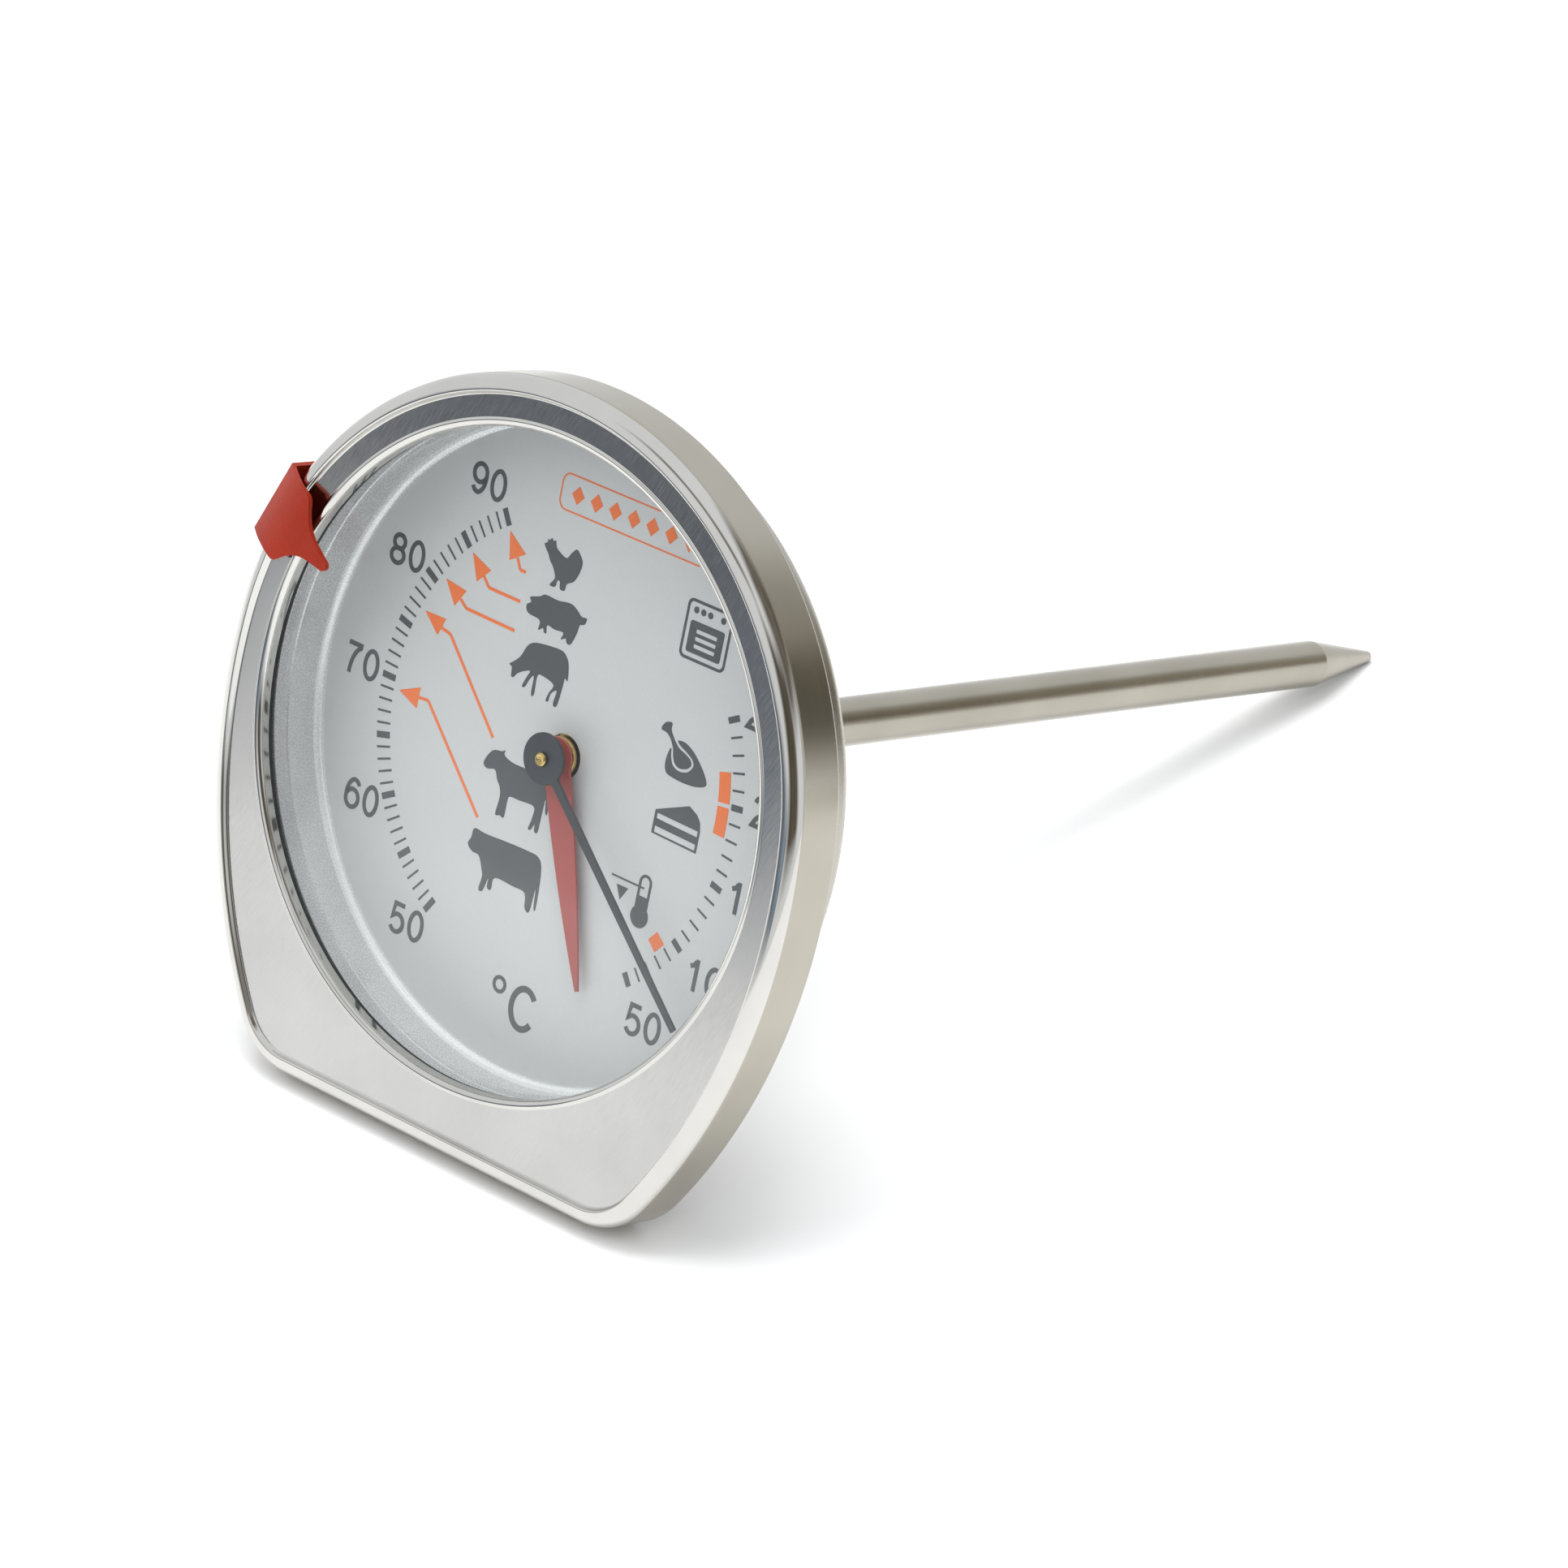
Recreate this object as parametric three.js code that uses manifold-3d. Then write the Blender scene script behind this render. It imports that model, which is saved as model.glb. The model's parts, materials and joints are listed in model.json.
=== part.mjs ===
// Meat and oven thermometer: a D-shaped steel dial case with a probe out of its back.
//
// Every piece is drawn in the head's own frame, in millimetres: X to the right as the dial is read,
// Y from the dial's face to the probe's tip, Z up the dial, with Y = 0 on the front panel and the
// origin on the axis of the pointers and the probe. The last lines lean the whole thermometer back
// until it stands on the case's rear lower edge and on the probe's tip, with Z = 0 as the table.

import * as THREE from 'three';
import { mergeVertices } from 'three/addons/utils/BufferGeometryUtils.js';
import Module from 'manifold-3d';

const wasm = await Module();
wasm.setup();

const DEG = Math.PI / 180;

// ---- Driving dimensions (mm) --------------------------------------------------------------------

// D outline of the flat front panel; the bead and the side wall are offsets of it.
const CROWN_RADIUS = 31.9;
const SIDE_CENTRE_X = 20.1;
const SIDE_CENTRE_Z = -2;
const CORNER_RADIUS = 5.5;
const BASE_DROP = 33.7;

// Front case: pressed from one sheet, with a raised bead round the panel and a hem at the back.
const SHEET = 0.6;
const BEAD_FOOT = 0.6;
const BEAD_HEIGHT = 0.5;
const EDGE_ROUND = 1.5;
const WALL_OFFSET = BEAD_FOOT + EDGE_ROUND;
const WALL_BACK = 5.4;
const HEEL_ROUND = 0.4;
const HEM_OFFSET = 1.0;
const HEM_FRONT = 5.1;

// Window: a rolled lip, then gasket, glass and dial pan stacked behind it.
const WINDOW_RADIUS = 29.33;
const LIP_ROLL = 0.6;
const LIP_RISE = 0.1;
const LIP_BACK = 1.15;
const GASKET_INNER_RADIUS = 29.6;
const GASKET_OUTER_RADIUS = 31.6;
const GASKET_BACK = 1.75;
const GLASS_RADIUS = 31.0;
const GLASS_FRONT = 1.95;
const GLASS_BACK = 2.65;

// Dial pan: a rim, a slightly tapered wall with one step, and the printed floor.
const PAN_RIM_FRONT = 2.85;
const PAN_RIM_RADIUS = 30.2;
const PAN_FLANGE_RADIUS = 31.4;
const PAN_FLOOR_RADIUS = 29.8;
const PAN_STEP_Y = 4.4;
const PAN_FLOOR = 8.0;
const PAN_SHEET = 0.35;
const PAN_BORE = 2.0;
const PRESSURE_RING_RADIUS = 31.8;

// Gap between the faces of two pieces that are pressed together.
const SEAT_GAP = 0.15;

// Back cover: a D plate inside the hem, with a round dish that houses the movement.
const COVER_OFFSET = 1.3;
const COVER_FRONT = 4.4;
const COVER_BACK = 4.9;
const DISH_INNER_RADIUS = 30.7;
const DISH_OUTER_RADIUS = 31.1;
const DISH_FLOOR_FRONT = 10.1;
const DISH_FLOOR_BACK = 10.55;
const DISH_ROUND = 1.5;
const STEM_BORE = 2.5;

// Pointers and their shafts, from front to back.
const SPINDLE_HEAD_FRONT = 4.95;
const SPINDLE_RADIUS = 0.5;
const SPINDLE_END = 110;
const MEAT_POINTER_FRONT = 5.4;
const MEAT_POINTER_BACK = 5.7;
const MEAT_POINTER_LENGTH = 27.1;
const MEAT_POINTER_ANGLE = 131.6;
const MEAT_HUB_RADIUS = 2.35;
const MEAT_ROOT_WIDTH = 0.85;
const MEAT_TIP_WIDTH = 0.6;
const MEAT_COLLET_RADIUS = 1.4;
const MEAT_COLLET_BACK = 6.1;
const OVEN_POINTER_FRONT = 7.0;
const OVEN_POINTER_BACK = 7.25;
const OVEN_POINTER_LENGTH = 20.6;
const OVEN_POINTER_ANGLE = 158.7;
const OVEN_HUB_RADIUS = 1.85;
const OVEN_ROOT_WIDTH = 3;
const OVEN_TIP_WIDTH = 0.35;
const OVEN_BULGE = 0.6;
const ARBOR_BORE = 0.7;
const ARBOR_RADIUS = 1.0;
const ARBOR_FRONT = 6.3;
const ARBOR_END = 9.85;
const TURNING_GAP = 0.1;

// Oven bimetal: a flat spiral between the dial pan and the dish.
const SPIRAL_FRONT = 8.95;
const SPIRAL_BACK = 9.85;
const SPIRAL_INNER_RADIUS = 2.1;
const SPIRAL_PITCH = 1.9;
const SPIRAL_TURNS = 4;
const SPIRAL_THICKNESS = 0.3;
const SPIRAL_COLLET_RADIUS = 1.6;

// Probe tube, its swaged tip, and the meat bimetal helix inside it.
const PROBE_RADIUS = 2.3;
const PROBE_BORE = 1.85;
const PROBE_FRONT = 9.95;
const CONE_START = 117.4;
const TIP_RADIUS = 0.6;
const PROBE_END = 127.5;
const HELIX_START = 80;
const HELIX_TURNS = 12;
const HELIX_PITCH = 2.6;
const HELIX_RADIUS = 1.2;
const HELIX_WIRE = 0.22;
const HELIX_COLLAR_RADIUS = 1.5;
const GUIDE_PLACES = [22, 58];
const GUIDE_THICKNESS = 1.2;
const PLUG_LENGTH = 1.5;

// Stem fittings: how the probe is held in the back cover's dish.
const WASHER_RADIUS = 5.6;
const WASHER_THICKNESS = 0.4;

// Marker clip: a folded strip that hooks over the bead and the wall's back edge.
const CLIP_ANGLE = -66;
const CLIP_HALF_WIDTH = 3.75;
const CLIP_TIP_RADIUS = 0.5;
const CLIP_POINT = 25.4;
const CLIP_SHEET = 0.45;
const CLIP_GAP = 0.4;

// Facets round full circles.
const ROUND = 56;
const SMALL_ROUND = 24;
const CLIP_ROUND = 120;

// ---- Materials ----------------------------------------------------------------------------------

const metal = (color, roughness) => new THREE.MeshStandardMaterial({ color, roughness, metalness: 1 });
const coat = (color, roughness) => new THREE.MeshStandardMaterial({ color, roughness, metalness: 0 });

const STEEL = () => metal(0xbdbab2, 0.3);
const PROBE_STEEL = () => metal(0xb3aea2, 0.38);
const DIAL_SILVER = () => metal(0xc5c8cb, 0.5);
const BRASS = () => metal(0xb39145, 0.3);
const BIMETAL = () => metal(0x8e8a80, 0.4);
const BLACK_PAINT = () => coat(0x33353a, 0.55);
const RED_PAINT = () => coat(0x9c2e2b, 0.5);
const ORANGE_ENAMEL = () => coat(0xc23d1f, 0.3);
const RUBBER = () => coat(0x26262a, 0.7);
const GLASS = () => new THREE.MeshStandardMaterial({
  color: 0xe8eef0,
  roughness: 0.03,
  metalness: 0,
  transparent: true,
  opacity: 0.2,
});

// ---- Geometry helpers ---------------------------------------------------------------------------

// A closed surface with shared vertices, no zero-area triangles and its faces pointing out.
function closed(geometry) {
  const bare = new THREE.BufferGeometry();
  bare.setAttribute('position', geometry.getAttribute('position'));
  bare.setIndex(geometry.getIndex());
  const merged = mergeVertices(bare, 1e-4);
  const position = merged.getAttribute('position');
  const index = merged.getIndex().array;
  const kept = [];
  let volume = 0;
  const corners = [new THREE.Vector3(), new THREE.Vector3(), new THREE.Vector3()];
  for (let i = 0; i < index.length; i += 3) {
    const triangle = [index[i], index[i + 1], index[i + 2]];
    if (new Set(triangle).size < 3) {
      continue;
    }
    kept.push(...triangle);
    corners.forEach((corner, k) => corner.fromBufferAttribute(position, triangle[k]));
    volume += corners[0].dot(corners[1].clone().cross(corners[2]));
  }
  if (volume < 0) {
    kept.reverse();
  }
  merged.setIndex(kept);
  return merged;
}

// Solid of revolution round Y from a profile of [radius, y] points.
function turned(profile, segments = ROUND) {
  const points = profile.map(([radius, y]) => new THREE.Vector2(radius, y));
  const first = points[0];
  const last = points[points.length - 1];
  if (first.x > 0 || last.x > 0) {
    points.push(first.clone());
  }
  return closed(new THREE.LatheGeometry(points, segments));
}

// Plain ring or disc round Y between two depths.
function ring(innerRadius, outerRadius, front, back, segments = SMALL_ROUND) {
  const profile = [[innerRadius, front], [outerRadius, front], [outerRadius, back], [innerRadius, back]];
  return turned(profile, segments);
}

// Flat plate: a shape drawn in the dial's X and Z, between two depths.
function plate(shape, front, back, curveSegments = 12) {
  const geometry = new THREE.ExtrudeGeometry(shape, {
    depth: back - front,
    bevelEnabled: false,
    curveSegments,
  });
  geometry.rotateX(Math.PI / 2);
  geometry.translate(0, back, 0);
  return closed(geometry);
}

function toManifold(geometry) {
  const source = closed(geometry);
  return new wasm.Manifold(new wasm.Mesh({
    numProp: 3,
    vertProperties: new Float32Array(source.getAttribute('position').array),
    triVerts: new Uint32Array(source.getIndex().array),
  }));
}

function fromManifold(solid) {
  const mesh = solid.getMesh();
  const geometry = new THREE.BufferGeometry();
  geometry.setAttribute('position', new THREE.BufferAttribute(new Float32Array(mesh.vertProperties), 3));
  geometry.setIndex(new THREE.BufferAttribute(new Uint32Array(mesh.triVerts), 1));
  return geometry;
}

// ---- The D outline ------------------------------------------------------------------------------

const SIDE_RADIUS = CROWN_RADIUS + Math.hypot(SIDE_CENTRE_X, SIDE_CENTRE_Z);
const CORNER_Z = CORNER_RADIUS - BASE_DROP;
const CORNER_REACH = SIDE_RADIUS - CORNER_RADIUS;
const CORNER_X = Math.sqrt(CORNER_REACH ** 2 - (CORNER_Z - SIDE_CENTRE_Z) ** 2) - SIDE_CENTRE_X;
const CROWN_TO_SIDE = Math.atan2(-SIDE_CENTRE_Z, SIDE_CENTRE_X);
const SIDE_TO_CORNER = Math.atan2(CORNER_Z - SIDE_CENTRE_Z, CORNER_X + SIDE_CENTRE_X);

function arcPoints(x, z, radius, from, to, steps) {
  return Array.from({ length: steps }, (_, i) => {
    const angle = from + (to - from) * i / steps;
    return new THREE.Vector2(x + radius * Math.cos(angle), z + radius * Math.sin(angle));
  });
}

// Points of the outline moved out by an offset: crown, left side, left corner, then the right.
function outline(offset) {
  const crown = CROWN_RADIUS + offset;
  const side = SIDE_RADIUS + offset;
  const corner = CORNER_RADIUS + offset;
  const half = Math.PI;
  return [
    ...arcPoints(0, 0, crown, CROWN_TO_SIDE, half - CROWN_TO_SIDE, 32),
    ...arcPoints(SIDE_CENTRE_X, SIDE_CENTRE_Z, side, half - CROWN_TO_SIDE, half - SIDE_TO_CORNER, 7),
    ...arcPoints(-CORNER_X, CORNER_Z, corner, half - SIDE_TO_CORNER, half * 1.5, 5),
    new THREE.Vector2(-CORNER_X, CORNER_Z - corner),
    ...arcPoints(CORNER_X, CORNER_Z, corner, -half / 2, SIDE_TO_CORNER, 5),
    ...arcPoints(-SIDE_CENTRE_X, SIDE_CENTRE_Z, side, SIDE_TO_CORNER, CROWN_TO_SIDE, 7),
  ];
}

// Solid through a run of [offset, y] stations of the outline, closed by a flat face at each end.
function lofted(stations) {
  const positions = [];
  const indices = [];
  const count = outline(0).length;
  for (const [offset, y] of stations) {
    outline(offset).forEach((point) => positions.push(point.x, y, point.y));
  }
  const firstCentre = stations.length * count;
  const lastCentre = firstCentre + 1;
  positions.push(0, stations[0][1], 0, 0, stations[stations.length - 1][1], 0);
  for (let k = 0; k < count; k++) {
    const next = (k + 1) % count;
    for (let s = 0; s + 1 < stations.length; s++) {
      const a = s * count;
      const b = a + count;
      indices.push(a + k, b + k, a + next, a + next, b + k, b + next);
    }
    const last = (stations.length - 1) * count;
    indices.push(firstCentre, k, next, lastCentre, last + next, last + k);
  }
  const geometry = new THREE.BufferGeometry();
  geometry.setAttribute('position', new THREE.Float32BufferAttribute(positions, 3));
  geometry.setIndex(indices);
  return closed(geometry);
}

// Quarter of the rounded front edge, as [offset, y] stations.
function edgeArc(radius, from, to, steps) {
  return Array.from({ length: steps + 1 }, (_, i) => {
    const angle = (from + (to - from) * i / steps) * DEG;
    return [BEAD_FOOT + radius * Math.sin(angle), EDGE_ROUND - BEAD_HEIGHT - radius * Math.cos(angle)];
  });
}

// ---- Case, window and back ----------------------------------------------------------------------

function frontCase() {
  const flankSteps = 4;
  const flank = Array.from({ length: flankSteps }, (_, i) => {
    const s = i / flankSteps;
    return [BEAD_FOOT * s, -BEAD_HEIGHT * s * s * (3 - 2 * s)];
  });
  const innerWall = WALL_OFFSET - SHEET;
  // The wall's back edge turns in over two facets: how far in and how far forward each point lies.
  const heel = [[0, HEEL_ROUND], [0.1, 0.12], [0.35, 0]];
  const shell = toManifold(lofted([
    ...flank,
    ...edgeArc(EDGE_ROUND, 0, 90, 6),
    ...heel.map(([inward, forward]) => [WALL_OFFSET - inward, WALL_BACK - forward]),
    [HEM_OFFSET, WALL_BACK],
    [HEM_OFFSET, HEM_FRONT],
    [innerWall, HEM_FRONT],
    ...edgeArc(EDGE_ROUND - SHEET, 90, 0, 4),
    [0, SHEET],
  ]));
  const crest = WINDOW_RADIUS + LIP_ROLL;
  const overlap = 0.1;
  const holeRadius = crest - overlap;
  const hole = new THREE.CylinderGeometry(holeRadius, holeRadius, 4 * SHEET, ROUND);
  const rootRadius = crest + LIP_ROLL / 2;
  const rollSteps = 4;
  const roll = Array.from({ length: rollSteps + 1 }, (_, i) => {
    const angle = Math.PI / 2 * i / rollSteps;
    return [crest - LIP_ROLL * Math.sin(angle), LIP_ROLL - LIP_RISE - LIP_ROLL * Math.cos(angle)];
  });
  const lip = turned([
    [rootRadius, SHEET / 3],
    [crest + LIP_RISE, 0],
    ...roll,
    [WINDOW_RADIUS, LIP_BACK],
    [WINDOW_RADIUS + SHEET, LIP_BACK],
    [WINDOW_RADIUS + SHEET, SHEET - overlap],
    [rootRadius, SHEET - overlap],
  ]);
  return fromManifold(shell.subtract(toManifold(hole)).add(toManifold(lip)));
}

function windowGasket() {
  const lipGap = 0.2;
  const panelGap = 0.25;
  const stepRadius = WINDOW_RADIUS + SHEET + panelGap;
  const lipSide = LIP_BACK + lipGap;
  const panelSide = SHEET + panelGap;
  return turned([
    [GASKET_INNER_RADIUS, lipSide],
    [stepRadius, lipSide],
    [stepRadius, panelSide],
    [GASKET_OUTER_RADIUS, panelSide],
    [GASKET_OUTER_RADIUS, GASKET_BACK],
    [GASKET_INNER_RADIUS, GASKET_BACK],
  ]);
}

function windowGlass() {
  return turned([[0, GLASS_FRONT], [GLASS_RADIUS, GLASS_FRONT], [GLASS_RADIUS, GLASS_BACK], [0, GLASS_BACK]]);
}

function dialPan() {
  const wallSlope = (PAN_RIM_RADIUS - PAN_FLOOR_RADIUS) / (PAN_FLOOR - PAN_RIM_FRONT);
  const wallAt = (y) => PAN_RIM_RADIUS - (y - PAN_RIM_FRONT) * wallSlope;
  const step = 0.12;
  const stepRise = 0.08;
  const rimRound = 0.15;
  const flangeRoot = PAN_RIM_RADIUS + 0.5;
  const foldDepth = 0.9;
  const backFold = 0.4;
  // The fold from floor to wall, over three facets: how far in and how far forward each point lies.
  const fold = [[foldDepth, 0], [0.4, 0.12], [0.08, 0.45]];
  return turned([
    [PAN_BORE, PAN_FLOOR],
    ...fold.map(([inward, forward]) => [PAN_FLOOR_RADIUS - inward, PAN_FLOOR - forward]),
    [wallAt(PAN_FLOOR - foldDepth), PAN_FLOOR - foldDepth],
    [wallAt(PAN_STEP_Y), PAN_STEP_Y],
    [wallAt(PAN_STEP_Y) + step, PAN_STEP_Y - stepRise],
    [PAN_RIM_RADIUS + step, PAN_RIM_FRONT + rimRound],
    [PAN_RIM_RADIUS + step + rimRound, PAN_RIM_FRONT],
    [PAN_FLANGE_RADIUS, PAN_RIM_FRONT],
    [PAN_FLANGE_RADIUS, PAN_RIM_FRONT + PAN_SHEET],
    [flangeRoot, PAN_RIM_FRONT + PAN_SHEET],
    [wallAt(PAN_STEP_Y) + PAN_SHEET, PAN_STEP_Y],
    [PAN_FLOOR_RADIUS + PAN_SHEET - step, PAN_FLOOR - backFold],
    [PAN_FLOOR_RADIUS - backFold, PAN_FLOOR + PAN_SHEET],
    [PAN_BORE, PAN_FLOOR + PAN_SHEET],
  ]);
}

function backCover() {
  const sheet = toManifold(lofted([[COVER_OFFSET, COVER_FRONT], [COVER_OFFSET, COVER_BACK]]));
  const overlap = 0.1;
  const flange = DISH_OUTER_RADIUS + 0.6;
  const holeRadius = flange - 3 * overlap;
  const hole = new THREE.CylinderGeometry(holeRadius, holeRadius, 4 * COVER_BACK, ROUND);
  const rootRound = 0.35;
  const innerRound = DISH_ROUND - DISH_FLOOR_BACK + DISH_FLOOR_FRONT;
  const quarter = (radius, back, round, degrees) => degrees.map((angle) => [
    radius - round * (1 - Math.cos(angle * DEG)),
    back - round * (1 - Math.sin(angle * DEG)),
  ]);
  const dish = turned([
    [STEM_BORE, DISH_FLOOR_FRONT],
    ...quarter(DISH_INNER_RADIUS, DISH_FLOOR_FRONT, innerRound, [90, 45, 0]),
    [DISH_INNER_RADIUS, COVER_FRONT + rootRound],
    [DISH_INNER_RADIUS + 2 * overlap, COVER_FRONT + overlap],
    [flange, COVER_FRONT + overlap],
    [flange, COVER_BACK - overlap],
    [DISH_OUTER_RADIUS + 0.7 * rootRound, COVER_BACK + overlap / 2],
    [DISH_OUTER_RADIUS, COVER_BACK + rootRound],
    ...quarter(DISH_OUTER_RADIUS, DISH_FLOOR_BACK, DISH_ROUND, [0, 30, 60, 90]),
    [STEM_BORE, DISH_FLOOR_BACK],
  ]);
  return fromManifold(sheet.subtract(toManifold(hole)).add(toManifold(dish)));
}

function pressureRing() {
  const width = 1.1;
  const front = PAN_RIM_FRONT + PAN_SHEET + SEAT_GAP + TURNING_GAP;
  return ring(PRESSURE_RING_RADIUS - width, PRESSURE_RING_RADIUS, front, COVER_FRONT - SEAT_GAP, ROUND);
}

// ---- Pointers and movement ----------------------------------------------------------------------

// A flat pointer from a hub disc up to a square tip, with a hole for its shaft. Its sides run
// straight, or bow out where they are given a bulge.
function pointerShape(hubRadius, holeRadius, rootWidth, tipWidth, length, bulge = 0) {
  const shape = new THREE.Shape();
  const rootAngle = Math.asin(rootWidth / 2 / hubRadius);
  const rootHeight = hubRadius * Math.cos(rootAngle);
  const middleWidth = (rootWidth + tipWidth) / 4 + bulge;
  const middleHeight = (rootHeight + length) / 2;
  shape.absarc(0, 0, hubRadius, Math.PI / 2 + rootAngle, Math.PI * 2.5 - rootAngle, false);
  shape.quadraticCurveTo(middleWidth, middleHeight, tipWidth / 2, length);
  shape.lineTo(-tipWidth / 2, length);
  shape.quadraticCurveTo(-middleWidth, middleHeight, -rootWidth / 2, rootHeight);
  const hole = new THREE.Path();
  hole.absarc(0, 0, holeRadius, 0, Math.PI * 2, true);
  shape.holes.push(hole);
  return shape;
}

// Long shaft with a slightly wider, chamfered head in front of the meat pointer.
function spindle() {
  const headRadius = SPINDLE_RADIUS + 0.12;
  const chamfer = 0.1;
  const headBack = SPINDLE_HEAD_FRONT + 0.35;
  return turned([
    [0, SPINDLE_HEAD_FRONT],
    [SPINDLE_RADIUS, SPINDLE_HEAD_FRONT],
    [headRadius, SPINDLE_HEAD_FRONT + chamfer],
    [headRadius, headBack - chamfer / 2],
    [SPINDLE_RADIUS, headBack],
    [SPINDLE_RADIUS, SPINDLE_END],
    [0, SPINDLE_END],
  ], 16);
}

// Flanged bush in the dial pan's bore, in which the oven pointer's arbor turns.
function arborBearing() {
  const bore = ARBOR_RADIUS + TURNING_GAP;
  const neck = PAN_BORE - SEAT_GAP;
  const flange = PAN_BORE + 0.6;
  const front = PAN_FLOOR + 0.05;
  const flangeFront = PAN_FLOOR + PAN_SHEET + 0.12;
  const back = flangeFront + 0.25;
  return turned([
    [bore, front],
    [neck, front],
    [neck, flangeFront],
    [flange, flangeFront],
    [flange, back],
    [bore, back],
  ], SMALL_ROUND);
}

// Flat strip wound as an evenly spaced spiral.
function ovenSpiral() {
  const steps = SPIRAL_TURNS * 18;
  const edge = (side) => Array.from({ length: steps + 1 }, (_, i) => {
    const turn = SPIRAL_TURNS * i / steps;
    const radius = SPIRAL_INNER_RADIUS + SPIRAL_PITCH * turn + side * SPIRAL_THICKNESS / 2;
    const angle = turn * 2 * Math.PI;
    return new THREE.Vector2(radius * Math.cos(angle), radius * Math.sin(angle));
  });
  const shape = new THREE.Shape([...edge(1), ...edge(-1).reverse()]);
  return plate(shape, SPIRAL_FRONT, SPIRAL_BACK);
}

// Wire helix along the probe; three.js sweeps its round section along the curve.
class Helix extends THREE.Curve {
  getPoint(t, target = new THREE.Vector3()) {
    const angle = 2 * Math.PI * HELIX_TURNS * t;
    const along = HELIX_START + HELIX_PITCH * HELIX_TURNS * t;
    return target.set(HELIX_RADIUS * Math.cos(angle), along, HELIX_RADIUS * Math.sin(angle));
  }
}

function meatHelix() {
  const section = new THREE.Shape();
  section.absarc(0, 0, HELIX_WIRE, 0, 2 * Math.PI, false);
  return closed(new THREE.ExtrudeGeometry(section, {
    steps: HELIX_TURNS * 12,
    extrudePath: new Helix(),
    curveSegments: 3,
  }));
}

// ---- Probe --------------------------------------------------------------------------------------

// Tube open at the dial end and swaged to a blunt cone at the far end.
function probeTube() {
  const coneAngle = Math.atan2(PROBE_RADIUS - TIP_RADIUS, PROBE_END - TIP_RADIUS - CONE_START);
  const tipSteps = 4;
  const tip = Array.from({ length: tipSteps + 1 }, (_, i) => {
    const angle = coneAngle + (Math.PI / 2 - coneAngle) * i / tipSteps;
    const radius = i < tipSteps ? TIP_RADIUS * Math.cos(angle) : 0;
    return [radius, PROBE_END - TIP_RADIUS + TIP_RADIUS * Math.sin(angle)];
  });
  const boreEnd = CONE_START - 0.6;
  const swageStart = CONE_START - 0.4;
  const swageEnd = CONE_START + 0.2;
  const swageDepth = 0.05;
  return turned([
    [0, boreEnd],
    [PROBE_BORE, boreEnd],
    [PROBE_BORE, PROBE_FRONT],
    [PROBE_RADIUS, PROBE_FRONT],
    [PROBE_RADIUS, swageStart],
    [PROBE_RADIUS - swageDepth, swageEnd],
    ...tip,
  ], SMALL_ROUND);
}

function stemNut() {
  const acrossFlats = 9;
  const thickness = 2.5;
  const chamfer = 0.35;
  const hexagon = new THREE.Shape();
  for (let k = 0; k < 6; k++) {
    const angle = (k * 60 + 30) * DEG;
    const reach = acrossFlats / 2 / Math.cos(30 * DEG);
    const point = [reach * Math.cos(angle), reach * Math.sin(angle)];
    if (k === 0) {
      hexagon.moveTo(...point);
    } else {
      hexagon.lineTo(...point);
    }
  }
  const front = DISH_FLOOR_BACK + 2 * SEAT_GAP + WASHER_THICKNESS;
  const back = front + thickness;
  const bore = PROBE_RADIUS + SEAT_GAP;
  const rim = acrossFlats / 2 + 0.25;
  const blank = turned([
    [bore, front],
    [rim, front],
    [rim + chamfer, front + chamfer],
    [rim + chamfer, back - chamfer],
    [rim, back],
    [bore, back],
  ], SMALL_ROUND);
  return fromManifold(toManifold(plate(hexagon, front, back)).intersect(toManifold(blank)));
}

// Collar behind the nut, tapering down to the probe.
function stemCollar() {
  const front = DISH_FLOOR_BACK + 3.35;
  const taperStart = front + 1;
  const back = front + 1.8;
  const bore = PROBE_RADIUS + SEAT_GAP;
  const frontRadius = PROBE_RADIUS + 1.1;
  const backRadius = PROBE_RADIUS + 0.55;
  return turned([
    [bore, front],
    [frontRadius, front],
    [frontRadius, taperStart],
    [backRadius, back],
    [bore, back],
  ], SMALL_ROUND);
}

// ---- Marker clip --------------------------------------------------------------------------------

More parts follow.
